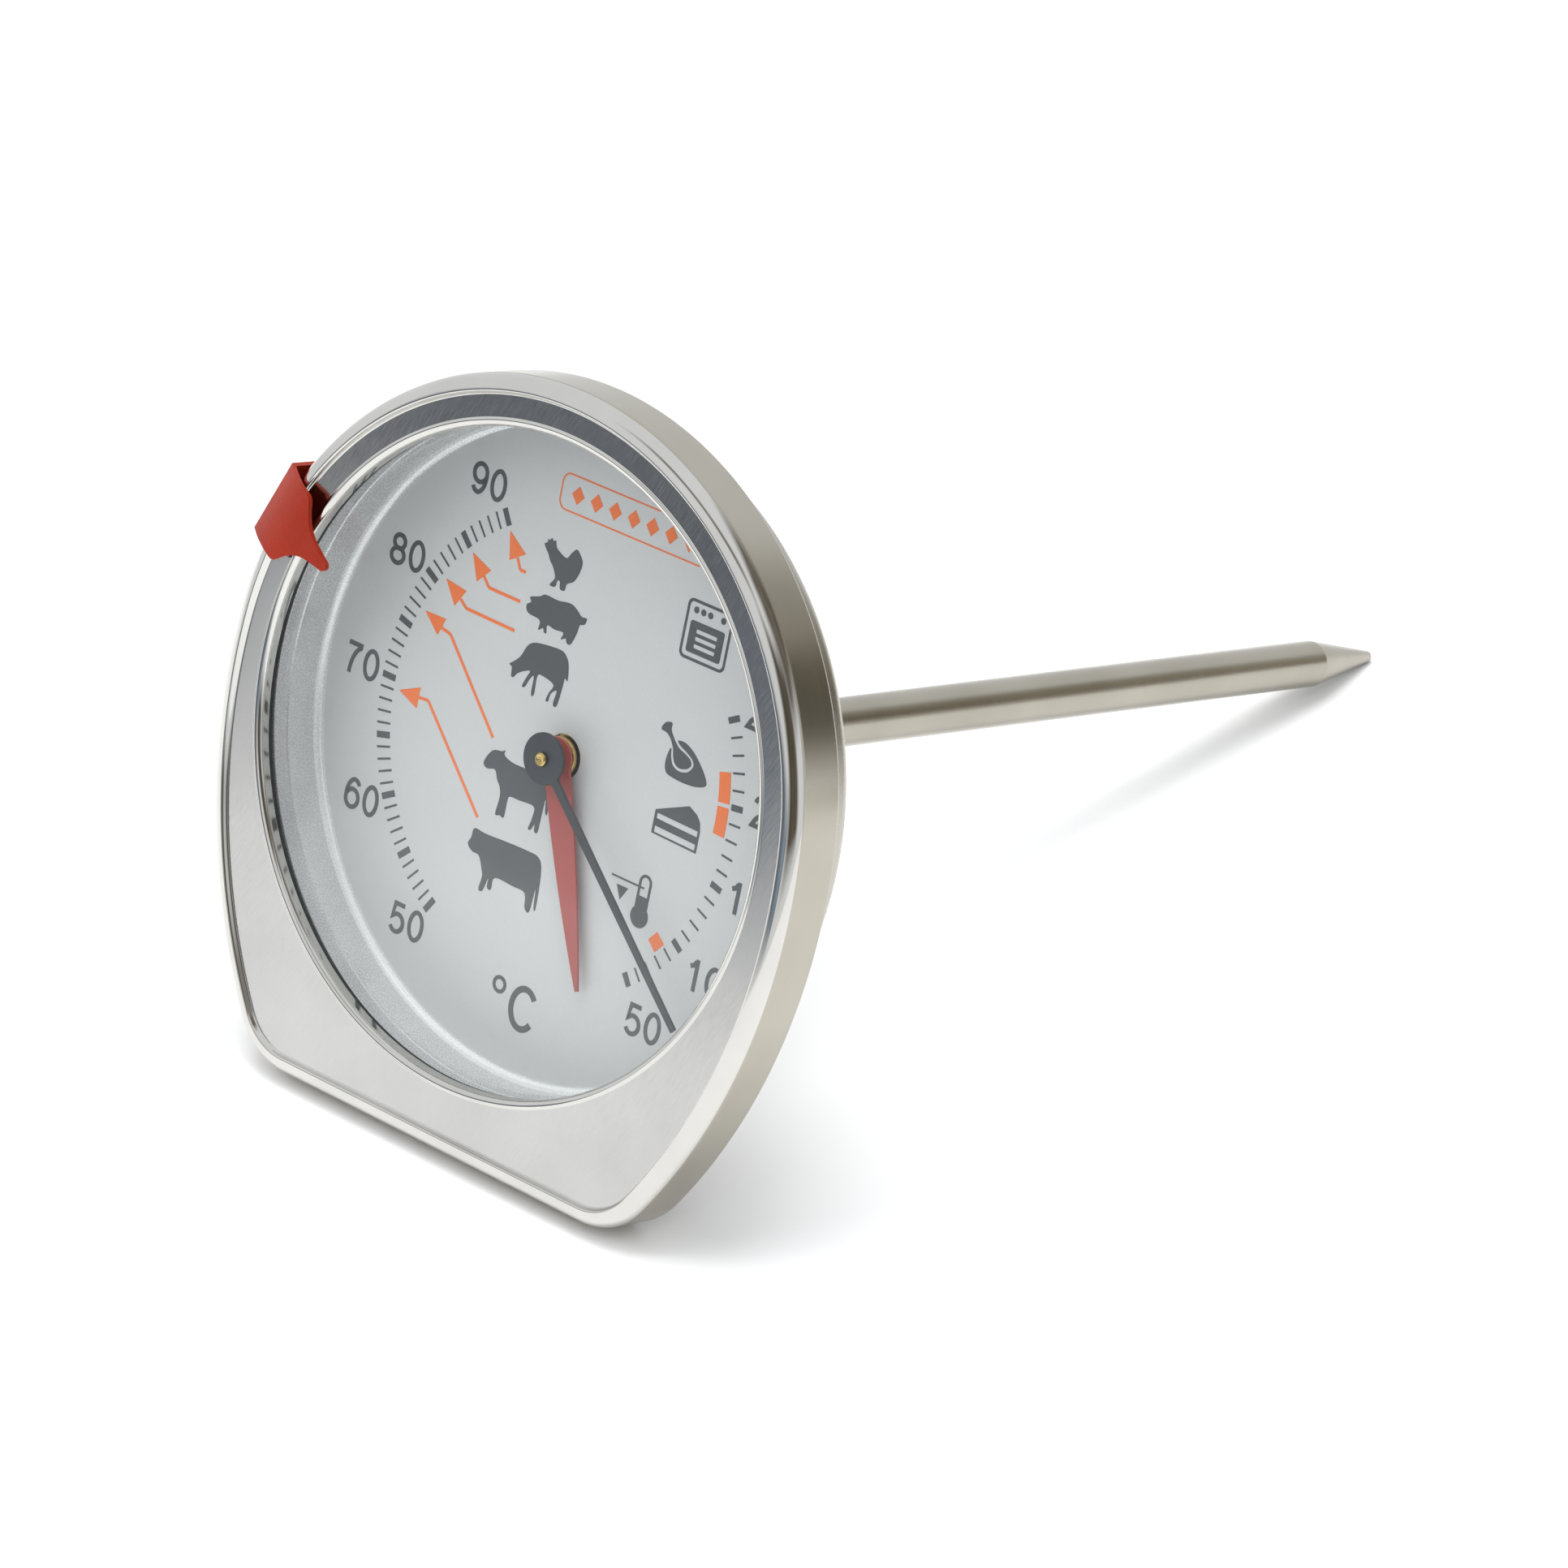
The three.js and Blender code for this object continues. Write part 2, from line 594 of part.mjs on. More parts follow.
// Drawn at the top of the dial: the hooked section all the way round, cut to the leaf's outline.
function markerClip() {
  const crestRadius = CROWN_RADIUS + BEAD_FOOT;
  const leafBack = -BEAD_HEIGHT - CLIP_GAP;
  const leafFront = leafBack - CLIP_SHEET;
  const wallInner = CROWN_RADIUS + WALL_OFFSET + 2 * CLIP_GAP;
  const wallOuter = wallInner + CLIP_SHEET;
  const hookFront = WALL_BACK + CLIP_GAP;
  const hookBack = hookFront + CLIP_SHEET;
  const hookEnd = DISH_OUTER_RADIUS + 0.7;
  const leafStart = CLIP_POINT - 1;
  const leafEnd = crestRadius - 0.3;
  const bend = crestRadius + 0.9;
  const bendDrop = 0.25;
  const foldY = 0.1;
  const outerRound = 0.9;
  const innerRound = 0.6 * outerRound;
  const section = turned([
    [leafStart, leafBack],
    [leafStart, leafFront],
    [leafEnd, leafFront],
    [bend, leafFront + bendDrop],
    [wallOuter, foldY],
    [wallOuter, hookBack - outerRound],
    [wallOuter - 0.3 * outerRound, hookBack - 0.3 * outerRound],
    [wallOuter - outerRound, hookBack],
    [hookEnd, hookBack],
    [hookEnd, hookFront],
    [wallInner - innerRound, hookFront],
    [wallInner, hookFront - innerRound],
    [wallInner, foldY + bendDrop],
    [bend - 0.1, leafBack + bendDrop],
    [leafEnd, leafBack],
  ], CLIP_ROUND);
  const margin = 2;
  const top = wallOuter + margin;
  const tipZ = CLIP_POINT + CLIP_TIP_RADIUS;
  // The leaf's sides run straight down to a rounded shoulder, then sweep in to the tip.
  const shoulderStart = 31;
  const shoulderCorner = 30.5;
  const shoulder = [3.3, 30.3];
  const sweepOut = [1.6, 29.4];
  const sweepIn = [1.05, 28.2];
  const mirrored = ([x, z]) => [-x, z];
  const leaf = new THREE.Shape();
  leaf.moveTo(CLIP_HALF_WIDTH, top);
  leaf.lineTo(-CLIP_HALF_WIDTH, top);
  leaf.lineTo(-CLIP_HALF_WIDTH, shoulderStart);
  leaf.quadraticCurveTo(-CLIP_HALF_WIDTH, shoulderCorner, ...mirrored(shoulder));
  leaf.bezierCurveTo(...mirrored(sweepOut), ...mirrored(sweepIn), -CLIP_TIP_RADIUS, tipZ);
  leaf.absarc(0, tipZ, CLIP_TIP_RADIUS, Math.PI, 2 * Math.PI, false);
  leaf.bezierCurveTo(...sweepIn, ...sweepOut, ...shoulder);
  leaf.quadraticCurveTo(CLIP_HALF_WIDTH, shoulderCorner, CLIP_HALF_WIDTH, shoulderStart);
  const cutter = plate(leaf, leafFront - margin, hookBack + margin, 8);
  return fromManifold(toManifold(section).intersect(toManifold(cutter)));
}

// ---- Scene graph --------------------------------------------------------------------------------

const thermometer = new THREE.Group();

function addPiece(name, geometry, material, parent = thermometer) {
  const mesh = new THREE.Mesh(geometry, material);
  mesh.name = name;
  parent.add(mesh);
  return mesh;
}

addPiece('front_case', frontCase(), STEEL());
addPiece('window_gasket', windowGasket(), RUBBER());
addPiece('window_glass', windowGlass(), GLASS());
addPiece('dial_pan', dialPan(), DIAL_SILVER());
addPiece('pressure_ring', pressureRing(), STEEL());
addPiece('back_cover', backCover(), STEEL());

// The oven side: pointer, hub, hollow arbor and collet turn together in the bearing.
const ovenGroup = new THREE.Group();
ovenGroup.rotation.y = OVEN_POINTER_ANGLE * DEG;
thermometer.add(ovenGroup);
const onArbor = ARBOR_RADIUS + TURNING_GAP;
const ovenShape = pointerShape(
  OVEN_HUB_RADIUS,
  onArbor,
  OVEN_ROOT_WIDTH,
  OVEN_TIP_WIDTH,
  OVEN_POINTER_LENGTH,
  OVEN_BULGE,
);
addPiece('oven_pointer', plate(ovenShape, OVEN_POINTER_FRONT, OVEN_POINTER_BACK), RED_PAINT(), ovenGroup);
addPiece('oven_pointer_hub', ring(onArbor, OVEN_HUB_RADIUS, OVEN_POINTER_BACK + 0.1, PAN_FLOOR - 0.15),
  BRASS(), ovenGroup);
addPiece('oven_arbor', ring(ARBOR_BORE, ARBOR_RADIUS, ARBOR_FRONT, ARBOR_END), BRASS(), ovenGroup);
addPiece('spiral_collet', ring(onArbor, SPIRAL_COLLET_RADIUS, SPIRAL_FRONT, SPIRAL_BACK), BRASS(), ovenGroup);
addPiece('arbor_bearing', arborBearing(), BRASS());
addPiece('oven_bimetal_spiral', ovenSpiral(), BIMETAL());
const anchorRadius = 0.45;
const anchor = addPiece('spiral_anchor', ring(0, anchorRadius, SPIRAL_FRONT - 0.3, SPIRAL_BACK, 12), BRASS());
anchor.position.x = SPIRAL_INNER_RADIUS + SPIRAL_PITCH * SPIRAL_TURNS + SPIRAL_THICKNESS + anchorRadius;

// The meat side: pointer, collet and the long spindle down to the bimetal helix.
const meatGroup = new THREE.Group();
meatGroup.rotation.y = MEAT_POINTER_ANGLE * DEG;
thermometer.add(meatGroup);
const meatHole = SPINDLE_RADIUS + SEAT_GAP;
const meatShape = pointerShape(
  MEAT_HUB_RADIUS,
  meatHole,
  MEAT_ROOT_WIDTH,
  MEAT_TIP_WIDTH,
  MEAT_POINTER_LENGTH,
);
addPiece('meat_pointer', plate(meatShape, MEAT_POINTER_FRONT, MEAT_POINTER_BACK), BLACK_PAINT(), meatGroup);
const onSpindle = SPINDLE_RADIUS + TURNING_GAP;
const meatCollet = ring(onSpindle, MEAT_COLLET_RADIUS, MEAT_POINTER_BACK + TURNING_GAP, MEAT_COLLET_BACK);
addPiece('meat_pointer_collet', meatCollet, BRASS(), meatGroup);
addPiece('spindle', spindle(), BRASS(), meatGroup);
const helixCollar = ring(onSpindle, HELIX_COLLAR_RADIUS, HELIX_START - 1.8, HELIX_START - 0.6);
addPiece('helix_collar', helixCollar, BRASS(), meatGroup);

addPiece('probe_tube', probeTube(), PROBE_STEEL());
const washerFront = DISH_FLOOR_BACK + SEAT_GAP;
const washerBack = washerFront + WASHER_THICKNESS;
addPiece('stem_washer', ring(PROBE_RADIUS + SEAT_GAP, WASHER_RADIUS, washerFront, washerBack), STEEL());
addPiece('stem_nut', stemNut(), STEEL());
addPiece('stem_collar', stemCollar(), STEEL());
const inTube = PROBE_BORE - TURNING_GAP;
GUIDE_PLACES.forEach((along, k) => {
  addPiece(`spindle_guide_${k + 1}`, ring(onSpindle, inTube, along, along + GUIDE_THICKNESS, 16), BRASS());
});
addPiece('meat_bimetal_helix', meatHelix(), BIMETAL());
const plugFront = HELIX_START + HELIX_PITCH * HELIX_TURNS + 0.5;
addPiece('helix_anchor_plug', ring(0, inTube, plugFront, plugFront + PLUG_LENGTH, 16), BRASS());

const clip = addPiece('marker_clip', markerClip(), ORANGE_ENAMEL());
clip.rotation.y = CLIP_ANGLE * DEG;

// Lean back until the wall's rear lower edge and the probe's tip share one level.
const heel = new THREE.Vector2(WALL_BACK - HEEL_ROUND, BASE_DROP + WALL_OFFSET);
const run = PROBE_END - TIP_RADIUS - heel.x;
const lean = Math.atan2(heel.y, run) - Math.asin(TIP_RADIUS / Math.hypot(run, heel.y));
thermometer.rotation.x = -lean;

// Put the origin under the middle of the whole object, on the table.
const box = new THREE.Box3().setFromObject(thermometer, true);
const middle = box.getCenter(new THREE.Vector3());
thermometer.position.set(-middle.x, -middle.y, -box.min.z);

export default thermometer;
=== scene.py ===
import json
import math

import bmesh
import bpy
from mathutils import Matrix, Vector
from mathutils.geometry import delaunay_2d_cdt


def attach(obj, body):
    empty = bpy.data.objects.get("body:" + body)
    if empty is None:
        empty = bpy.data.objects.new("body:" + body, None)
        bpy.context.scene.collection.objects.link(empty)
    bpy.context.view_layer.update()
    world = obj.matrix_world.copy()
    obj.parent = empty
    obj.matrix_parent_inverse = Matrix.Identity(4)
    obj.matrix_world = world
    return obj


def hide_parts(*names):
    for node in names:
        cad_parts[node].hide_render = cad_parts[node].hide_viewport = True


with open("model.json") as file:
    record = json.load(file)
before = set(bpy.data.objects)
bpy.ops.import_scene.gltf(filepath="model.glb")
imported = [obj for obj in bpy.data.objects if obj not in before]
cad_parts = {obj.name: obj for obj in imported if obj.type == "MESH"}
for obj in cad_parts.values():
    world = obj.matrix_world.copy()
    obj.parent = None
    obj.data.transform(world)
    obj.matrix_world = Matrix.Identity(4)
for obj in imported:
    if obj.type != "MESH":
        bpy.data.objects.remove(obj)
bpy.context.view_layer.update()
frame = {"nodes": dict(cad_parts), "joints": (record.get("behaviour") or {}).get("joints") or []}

# ---- The head's own frame ----
# Every piece is drawn in millimetres in the head's frame: X to the right as the dial is read, Y from
# the front panel towards the probe's tip, Z up the dial, with the origin on the pointers' axis.

MM = 0.001
MEAT_POINTER_MIDDLE = 5.55


def joint(name):
    return next(j for j in frame["joints"] if j["name"] == name)


def head_matrix():
    turn = joint("meat_pointer_turn")
    depth = Vector(turn["axis"]).normalized()
    right = Vector((1, 0, 0))
    up = right.cross(depth)
    origin = Vector(turn["pos_m"]) - depth * MEAT_POINTER_MIDDLE * MM
    axes = Matrix((right, depth, up)).transposed().to_4x4()
    return Matrix.Translation(origin) @ axes


HEAD = head_matrix()
TAU = 2 * math.pi


# ---- Sizes (mm), the same as the CAD part's ----

CROWN_RADIUS = 31.9
SIDE_CENTRE_X = 20.1
SIDE_CENTRE_Z = -2
CORNER_RADIUS = 5.5
BASE_DROP = 33.7
SHEET = 0.6
BEAD_FOOT = 0.6
BEAD_HEIGHT = 0.5
EDGE_ROUND = 1.5
WALL_OFFSET = BEAD_FOOT + EDGE_ROUND
WALL_BACK = 5.4
HEEL_ROUND = 0.4
HEM_OFFSET = 1.0
HEM_FRONT = 5.1
WINDOW_RADIUS = 29.33
LIP_ROLL = 0.6
LIP_CREST = -0.1
LIP_BACK = 1.15
GASKET_OUTER = 31.6
GASKET_BACK = 1.75
GLASS_RADIUS = 31.0
GLASS_FRONT = 1.95
GLASS_BACK = 2.65
PAN_RIM_FRONT = 2.85
PAN_RIM_RADIUS = 30.2
PAN_FLANGE_RADIUS = 31.4
PAN_FLOOR_RADIUS = 29.8
PAN_STEP_Y = 4.4
PAN_FLOOR = 8.0
PAN_SHEET = 0.35
PAN_BORE = 2.0
COVER_OFFSET = 1.3
COVER_FRONT = 4.4
COVER_BACK = 4.9
DISH_INNER = 30.7
DISH_OUTER = 31.1
DISH_FLOOR_FRONT = 10.1
DISH_FLOOR_BACK = 10.55
DISH_ROUND = 1.5
STEM_BORE = 2.5
MEAT_POINTER_FRONT = 5.4
MEAT_POINTER_BACK = 5.7
MEAT_POINTER_ANGLE = 131.6
OVEN_POINTER_FRONT = 7.0
OVEN_POINTER_BACK = 7.25
OVEN_POINTER_ANGLE = 158.7
PROBE_RADIUS = 2.3
PROBE_BORE = 1.85
FITTING_BORE = PROBE_RADIUS + 0.15
PROBE_FRONT = 9.95
CONE_START = 117.4
TIP_RADIUS = 0.6
PROBE_END = 127.5
CLIP_ANGLE = -66
CLIP_HALF_WIDTH = 3.75
CLIP_POINT = 25.4
CLIP_TIP_ROUND = 0.5
CLIP_SHOULDER = 30.2
CLIP_SHOULDER_HALF_WIDTH = 2.9
CLIP_STRAIGHT = 31.0
CLIP_SHEET = 0.45
CLIP_GAP = 0.4

ROUND = 256
SMALL_ROUND = 96


# ---- Material nodes ----

class Nodes:
    """A material's node tree, with short calls for the nodes that the finishes share."""

    def __init__(self, name):
        self.material = bpy.data.materials.new(name)
        self.material.use_nodes = True
        self.tree = self.material.node_tree
        self.shader = self.tree.nodes["Principled BSDF"]
        self.output = self.tree.nodes["Material Output"]

    def add(self, kind, **values):
        node = self.tree.nodes.new(kind)
        for key, value in values.items():
            setattr(node, key, value)
        return node

    def link(self, source, target):
        self.tree.links.new(source, target)

    def coordinates(self, scale, source="Object", turn=0.0):
        """Texture coordinates, scaled along axes that are first turned about Y by some degrees."""
        if isinstance(scale, int):
            scale = (scale, scale, scale)
        place = self.add("ShaderNodeTexCoord")
        mapping = self.add("ShaderNodeMapping")
        mapping.vector_type = "TEXTURE" if turn else "POINT"
        mapping.inputs["Rotation"].default_value = (0, math.radians(turn), 0)
        mapping.inputs["Scale"].default_value = [1 / s for s in scale] if turn else scale
        self.link(place.outputs[source], mapping.inputs["Vector"])
        return mapping.outputs["Vector"]

    def noise(self, scale, detail=4.0, roughness=0.6, source="Object", turn=0.0):
        texture = self.add("ShaderNodeTexNoise")
        texture.inputs["Scale"].default_value = 1.0
        texture.inputs["Detail"].default_value = detail
        texture.inputs["Roughness"].default_value = roughness
        self.link(self.coordinates(scale, source, turn), texture.inputs["Vector"])
        return texture.outputs["Fac"]

    def spread(self, value, low, high, from_low=0.3, from_high=0.7):
        node = self.add("ShaderNodeMapRange")
        node.inputs["From Min"].default_value = from_low
        node.inputs["From Max"].default_value = from_high
        node.inputs["To Min"].default_value = low
        node.inputs["To Max"].default_value = high
        self.link(value, node.inputs["Value"])
        return node.outputs["Result"]

    def blend(self, value, first, second):
        ramp = self.add("ShaderNodeValToRGB")
        ramp.color_ramp.elements[0].position = 0.3
        ramp.color_ramp.elements[1].position = 0.7
        ramp.color_ramp.elements[0].color = (*first, 1)
        ramp.color_ramp.elements[1].color = (*second, 1)
        self.link(value, ramp.inputs["Fac"])
        return ramp.outputs["Color"]

    def bump(self, height, distance):
        node = self.add("ShaderNodeBump")
        node.inputs["Strength"].default_value = 1.0
        node.inputs["Distance"].default_value = distance
        self.link(height, node.inputs["Height"])
        return node.outputs["Normal"]

    def product(self, first, second):
        node = self.add("ShaderNodeMath", operation="MULTIPLY")
        self.link(first, node.inputs[0])
        self.link(second, node.inputs[1])
        return node.outputs["Value"]

    def surface_mix(self, factor, first, second):
        """Makes the surface a mix of two shaders, the second where the factor is 1."""
        mix = self.add("ShaderNodeMixShader")
        for source, socket in zip((factor, first, second), mix.inputs):
            self.link(source, socket)
        self.link(mix.outputs["Shader"], self.output.inputs["Surface"])

    def finish(self, color=None, roughness=None, normal=None, **constants):
        if color is not None:
            self.link(color, self.shader.inputs["Base Color"])
        if roughness is not None:
            self.link(roughness, self.shader.inputs["Roughness"])
        if normal is not None:
            self.link(normal, self.shader.inputs["Normal"])
        for key, value in constants.items():
            self.shader.inputs[key.replace("_", " ")].default_value = value
        return self.material


def grained(name, dark, light, smooth, rough, grain, depth, cloud=None, **constants):
    """A finish with fine relief, whose colour runs from dark to light and roughness from smooth to rough.

    grain and cloud are noises, as (counts per metre, detail, roughness). The grain makes the relief and
    the roughness, and the colour follows the cloud where there is one.
    """
    nodes = Nodes(name)
    fine = nodes.noise(*grain)
    tone = nodes.noise(*cloud) if cloud else fine
    return nodes.finish(nodes.blend(tone, dark, light), nodes.spread(fine, smooth, rough),
                        nodes.bump(fine, depth), **constants)


def steel(name, dark, light, smooth, rough, streaks, depth, source="Object", turn=0.0):
    """Stainless steel with fine streaks; streaks are their counts per metre along each axis."""
    grain = (streaks, 3.0, 0.65, source, turn)
    return grained(name, dark, light, smooth, rough, grain, depth, (90, 3.0, 0.5), Metallic=1.0)


def panel_steel():
    return steel("panel_steel", (0.475, 0.469, 0.455), (0.525, 0.519, 0.505), 0.09, 0.20,
                 (9000, 9000, 500), 1.5e-6, turn=25)


def polished_steel():
    return steel("polished_steel", (0.58, 0.57, 0.54), (0.65, 0.64, 0.61), 0.05, 0.09,
                 (60, 4000, 1), 1e-7, "UV")


# The side wall's steel is darker and warmer than the panel's: painted shade standing in for the darker
# reflections along the side wall.
def shaded_wall_steel():
    return steel("shaded_wall_steel", (0.42, 0.395, 0.335), (0.46, 0.435, 0.375), 0.18, 0.23,
                 (100, 6000, 1), 3e-7, "UV")


def cover_steel():
    return steel("cover_steel", (0.45, 0.43, 0.38), (0.50, 0.48, 0.43), 0.26, 0.30,
                 (4000, 500, 500), 2e-7)


def probe_steel():
    return steel("probe_steel", (0.38, 0.355, 0.30), (0.43, 0.405, 0.345), 0.20, 0.26,
                 (300, 5000, 300), 3e-7)


def fitting_steel():
    return steel("fitting_steel", (0.46, 0.445, 0.41), (0.52, 0.505, 0.47), 0.18, 0.26,
                 (3000, 7000, 3000), 1e-6)


def dial_silver():
    return grained("dial_silver", (0.555, 0.55, 0.55), (0.595, 0.59, 0.59), 0.42, 0.55,
                   (5000, 2.0, 0.7), 1.5e-6, Metallic=0.15)


def pan_silver(name, dark, light, metallic):
    """The same silver lacquer where it is drawn up into the pan's wall, smoother than on the dial. The fold's
    copy is lighter: a painted highlight along the fold.
    """
    return grained(name, dark, light, 0.24, 0.30, (9000, 2.0, 0.7), 1e-7, (120, 2.0, 0.5), Metallic=metallic)


def ink(name, dark, light):
    return grained(name, dark, light, 0.5, 0.65, (7000, 3.0, 0.7), 2e-6)


def pointer_paint(name, dark, light):
    return grained(name, dark, light, 0.38, 0.52, (6000, 3.0, 0.6), 4e-6)


def enamel():
    """Orange-red stoved enamel: glossy, with a slight orange peel."""
    return grained("orange_enamel", (0.25, 0.017, 0.005), (0.29, 0.021, 0.006), 0.24, 0.34,
                   (900, 2.0, 0.5), 8e-6, (250, 2.0, 0.5), Specular_IOR_Level=0.2)


def brass():
    return grained("brass", (0.62, 0.44, 0.14), (0.72, 0.55, 0.22), 0.16, 0.30,
                   ((9000, 2500, 9000), 3.0, 0.6), 3e-6, (500, 2.0, 0.5), Metallic=1.0)


def bimetal():
    return grained("bimetal", (0.30, 0.27, 0.23), (0.42, 0.39, 0.34), 0.30, 0.45,
                   ((2000, 9000, 2000), 3.0, 0.6), 3e-6, Metallic=1.0)


def rubber():
    return grained("black_rubber", (0.012, 0.012, 0.013), (0.022, 0.022, 0.024), 0.45, 0.65,
                   (5000, 4.0, 0.7), 5e-6)


def clear_glass():
    """Thin window glass: it lets the dial through as it is, and only its front surface shines."""
    nodes = Nodes("window_glass")
    through = nodes.add("ShaderNodeBsdfTransparent")
    through.inputs["Color"].default_value = (0.975, 0.985, 0.985, 1)
    smears = nodes.noise(70, 3.0, 0.6)
    nodes.finish(roughness=nodes.spread(smears, 0.02, 0.06), Base_Color=(0.9, 0.92, 0.92, 1), Metallic=1.0)
    gloss = nodes.add("ShaderNodeFresnel")
    gloss.inputs["IOR"].default_value = 1.65
    side = nodes.add("ShaderNodeNewGeometry")
    front_side = nodes.spread(side.outputs["Backfacing"], 1, 0, 0, 1)
    shine = nodes.product(front_side, gloss.outputs["Fac"])
    nodes.surface_mix(shine, through.outputs["BSDF"], nodes.shader.outputs["BSDF"])
    return nodes.material


FINISHES = {
    "panel": panel_steel(),
    "polished": polished_steel(),
    "wall": shaded_wall_steel(),
    "cover": cover_steel(),
    "probe": probe_steel(),
    "fitting": fitting_steel(),
    "dial": dial_silver(),
    "pan_wall": pan_silver("pan_wall_silver", (0.62, 0.62, 0.62), (0.66, 0.66, 0.66), 0.5),
    # The fold's lighter silver is a painted highlight where the fold catches the light.
    "pan_fold_highlight": pan_silver("pan_fold_highlight_silver", (0.78, 0.78, 0.78), (0.82, 0.82, 0.82), 0.4),
    "ink": ink("dark_ink", (0.070, 0.071, 0.075), (0.088, 0.089, 0.093)),
    "orange_ink": ink("orange_ink", (0.74, 0.155, 0.035), (0.80, 0.185, 0.050)),
    "black": pointer_paint("black_paint", (0.028, 0.030, 0.034), (0.042, 0.044, 0.050)),
    "red": pointer_paint("red_paint", (0.33, 0.060, 0.050), (0.38, 0.072, 0.060)),
    "enamel": enamel(),
    "brass": brass(),
    "bimetal": bimetal(),
    "rubber": rubber(),
    "glass": clear_glass(),
}


# ---- Mesh helpers ----

def place_piece(name, mesh, finishes, body, slot, *nodes, turn=0.0):
    """Puts a mesh drawn in head millimetres into the row frame, on its body, standing for its nodes."""
    mesh.transform(Matrix.Scale(MM, 4))
    for finish_name in finishes:
        mesh.materials.append(FINISHES[finish_name])
    piece = bpy.data.objects.new(name, mesh)
    bpy.context.scene.collection.objects.link(piece)
    piece.matrix_world = HEAD @ Matrix.Rotation(math.radians(turn), 4, "Y")
    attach(piece, body)
    if nodes:
        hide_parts(*nodes)
    return piece


def smooth_shaded(mesh, sharp_degrees=40):
    mesh.polygons.foreach_set("use_smooth", [True] * len(mesh.polygons))
    mesh.set_sharp_from_angle(angle=math.radians(sharp_degrees))
    return mesh


def mesh_from(bm, name):
    mesh = bpy.data.meshes.new(name)
    bm.to_mesh(mesh)
    bm.free()
    return mesh


def weighted_normals(piece):
    modifier = piece.modifiers.new("flat faces lead", "WEIGHTED_NORMAL")
    modifier.keep_sharp = True
    modifier.weight = 100


def bevelled(piece, width, segments=3):
    modifier = piece.modifiers.new("edge", "BEVEL")
    modifier.width = width * MM
    modifier.segments = segments
    modifier.limit_method = "ANGLE"
    modifier.angle_limit = math.radians(40)
    modifier.harden_normals = True
    return piece


def bend(start, corner, end, steps):
    """Points along a curve that leaves start towards a corner and arrives at end from it."""
    path = []
    for i in range(steps + 1):
        t = i / steps
        path.append(start * (1 - t) ** 2 + corner * 2 * t * (1 - t) + end * t * t)
    return path


def softened(points, steps=5):
    """A path of (x, y, corner radius) points with each corner turned into a short round."""
    path = []
    count = len(points)
    for i, (x, y, radius) in enumerate(points):
        here = Vector((x, y))
        if radius == 0:
            path.append(here)
            continue
        to_last = Vector(points[(i - 1) % count][:2]) - here
        to_next = Vector(points[(i + 1) % count][:2]) - here
        turn = math.pi - to_last.angle(to_next)
        reach = min(radius * math.tan(turn / 2), 0.49 * to_last.length, 0.49 * to_next.length)
        start = here + to_last.normalized() * reach
        end = here + to_next.normalized() * reach
        path.extend(bend(start, here, end, steps))
    return path


def oval(x, z, radius_x, radius_z, start, end, steps=20):
    """Points along an oval from one angle to another, in degrees from the right, anticlockwise."""
    points = []
    for i in range(steps + 1):
        angle = math.radians(start + (end - start) * i / steps)
        points.append((x + radius_x * math.cos(angle), z + radius_z * math.sin(angle)))
    return points


def circle_loop(radius, x=0.0, z=0.0, steps=48):
    return oval(x, z, radius, radius, 0, 360, steps)[:-1]


def section_arc(x, y, radius, start, end, steps):
    """Points on an arc in a section; 0 degrees points to the front and 90 outward."""
    return [Vector(point) for point in oval(x, y, radius, radius, start - 90, end - 90, steps)]


def grid_mesh(name, rings, finish_of=None, close_path=True):
    """A closed surface through rings of points; rings[k] is the section at step k round the object.

    A section either closes on itself or starts and ends on the axis, where its end points are shared.
    finish_of(i) gives the material index of the strip from section point i to the next.
    """
    bm = bmesh.new()
    uv = bm.loops.layers.uv.new("UVMap")
    length = len(rings[0])
    poles = [] if close_path else [bm.verts.new(rings[0][0]), bm.verts.new(rings[0][-1])]
    grid = []
    for ring in rings:
        inner = ring if close_path else ring[1:-1]
        verts = [bm.verts.new(point) for point in inner]
        grid.append(verts if close_path else [poles[0], *verts, poles[1]])
    along = [0.0]
    for ring, following in zip(rings, rings[1:] + rings[:1]):
        along.append(along[-1] + max((a - b).length for a, b in zip(ring, following)) * MM)
    across = [0.0]
    for i in range(length):
        across.append(across[-1] + (rings[0][(i + 1) % length] - rings[0][i]).length * MM)
    strips = length if close_path else length - 1
    for k, verts in enumerate(grid):
        beside = grid[(k + 1) % len(grid)]
        for i in range(strips):
            j = (i + 1) % length
            corners = [
                (verts[i], k, i), (verts[j], k, i + 1),
                (beside[j], k + 1, i + 1), (beside[i], k + 1, i),
            ]
            unique = list({corner[0]: corner for corner in corners}.values())
            face = bm.faces.new([corner[0] for corner in unique])
            face.material_index = finish_of(i) if finish_of else 0
            for loop, (_, u, v) in zip(face.loops, unique):
                loop[uv].uv = (along[u], across[v])
    bmesh.ops.recalc_face_normals(bm, faces=bm.faces)
    if bm.calc_volume(signed=True) < 0:
        bmesh.ops.reverse_faces(bm, faces=bm.faces)
    return smooth_shaded(mesh_from(bm, name))


def lathe_mesh(name, path, segments=ROUND, finish_of=None):
    """A solid of revolution round Y; its path of (radius, y) closes or has both ends on the axis."""
    on_axis = path[0].x == 0
    rings = []
    for k in range(segments):
        angle = TAU * k / segments
        rings.append([Vector((p.x * math.sin(angle), p.y, p.x * math.cos(angle))) for p in path])
    return grid_mesh(name, rings, finish_of, close_path=not on_axis)


def lathed_piece(name, path, finish_name, body, slot, node, segments=SMALL_ROUND):
    return place_piece(name, lathe_mesh(name, path, segments), [finish_name], body, slot, node)


def washer_path(inner, outer, front, back, corner=0.06):
    corners = [(inner, front), (outer, front), (outer, back), (inner, back)]
    return softened([(radius, y, corner) for radius, y in corners])


# ---- The D outline ----

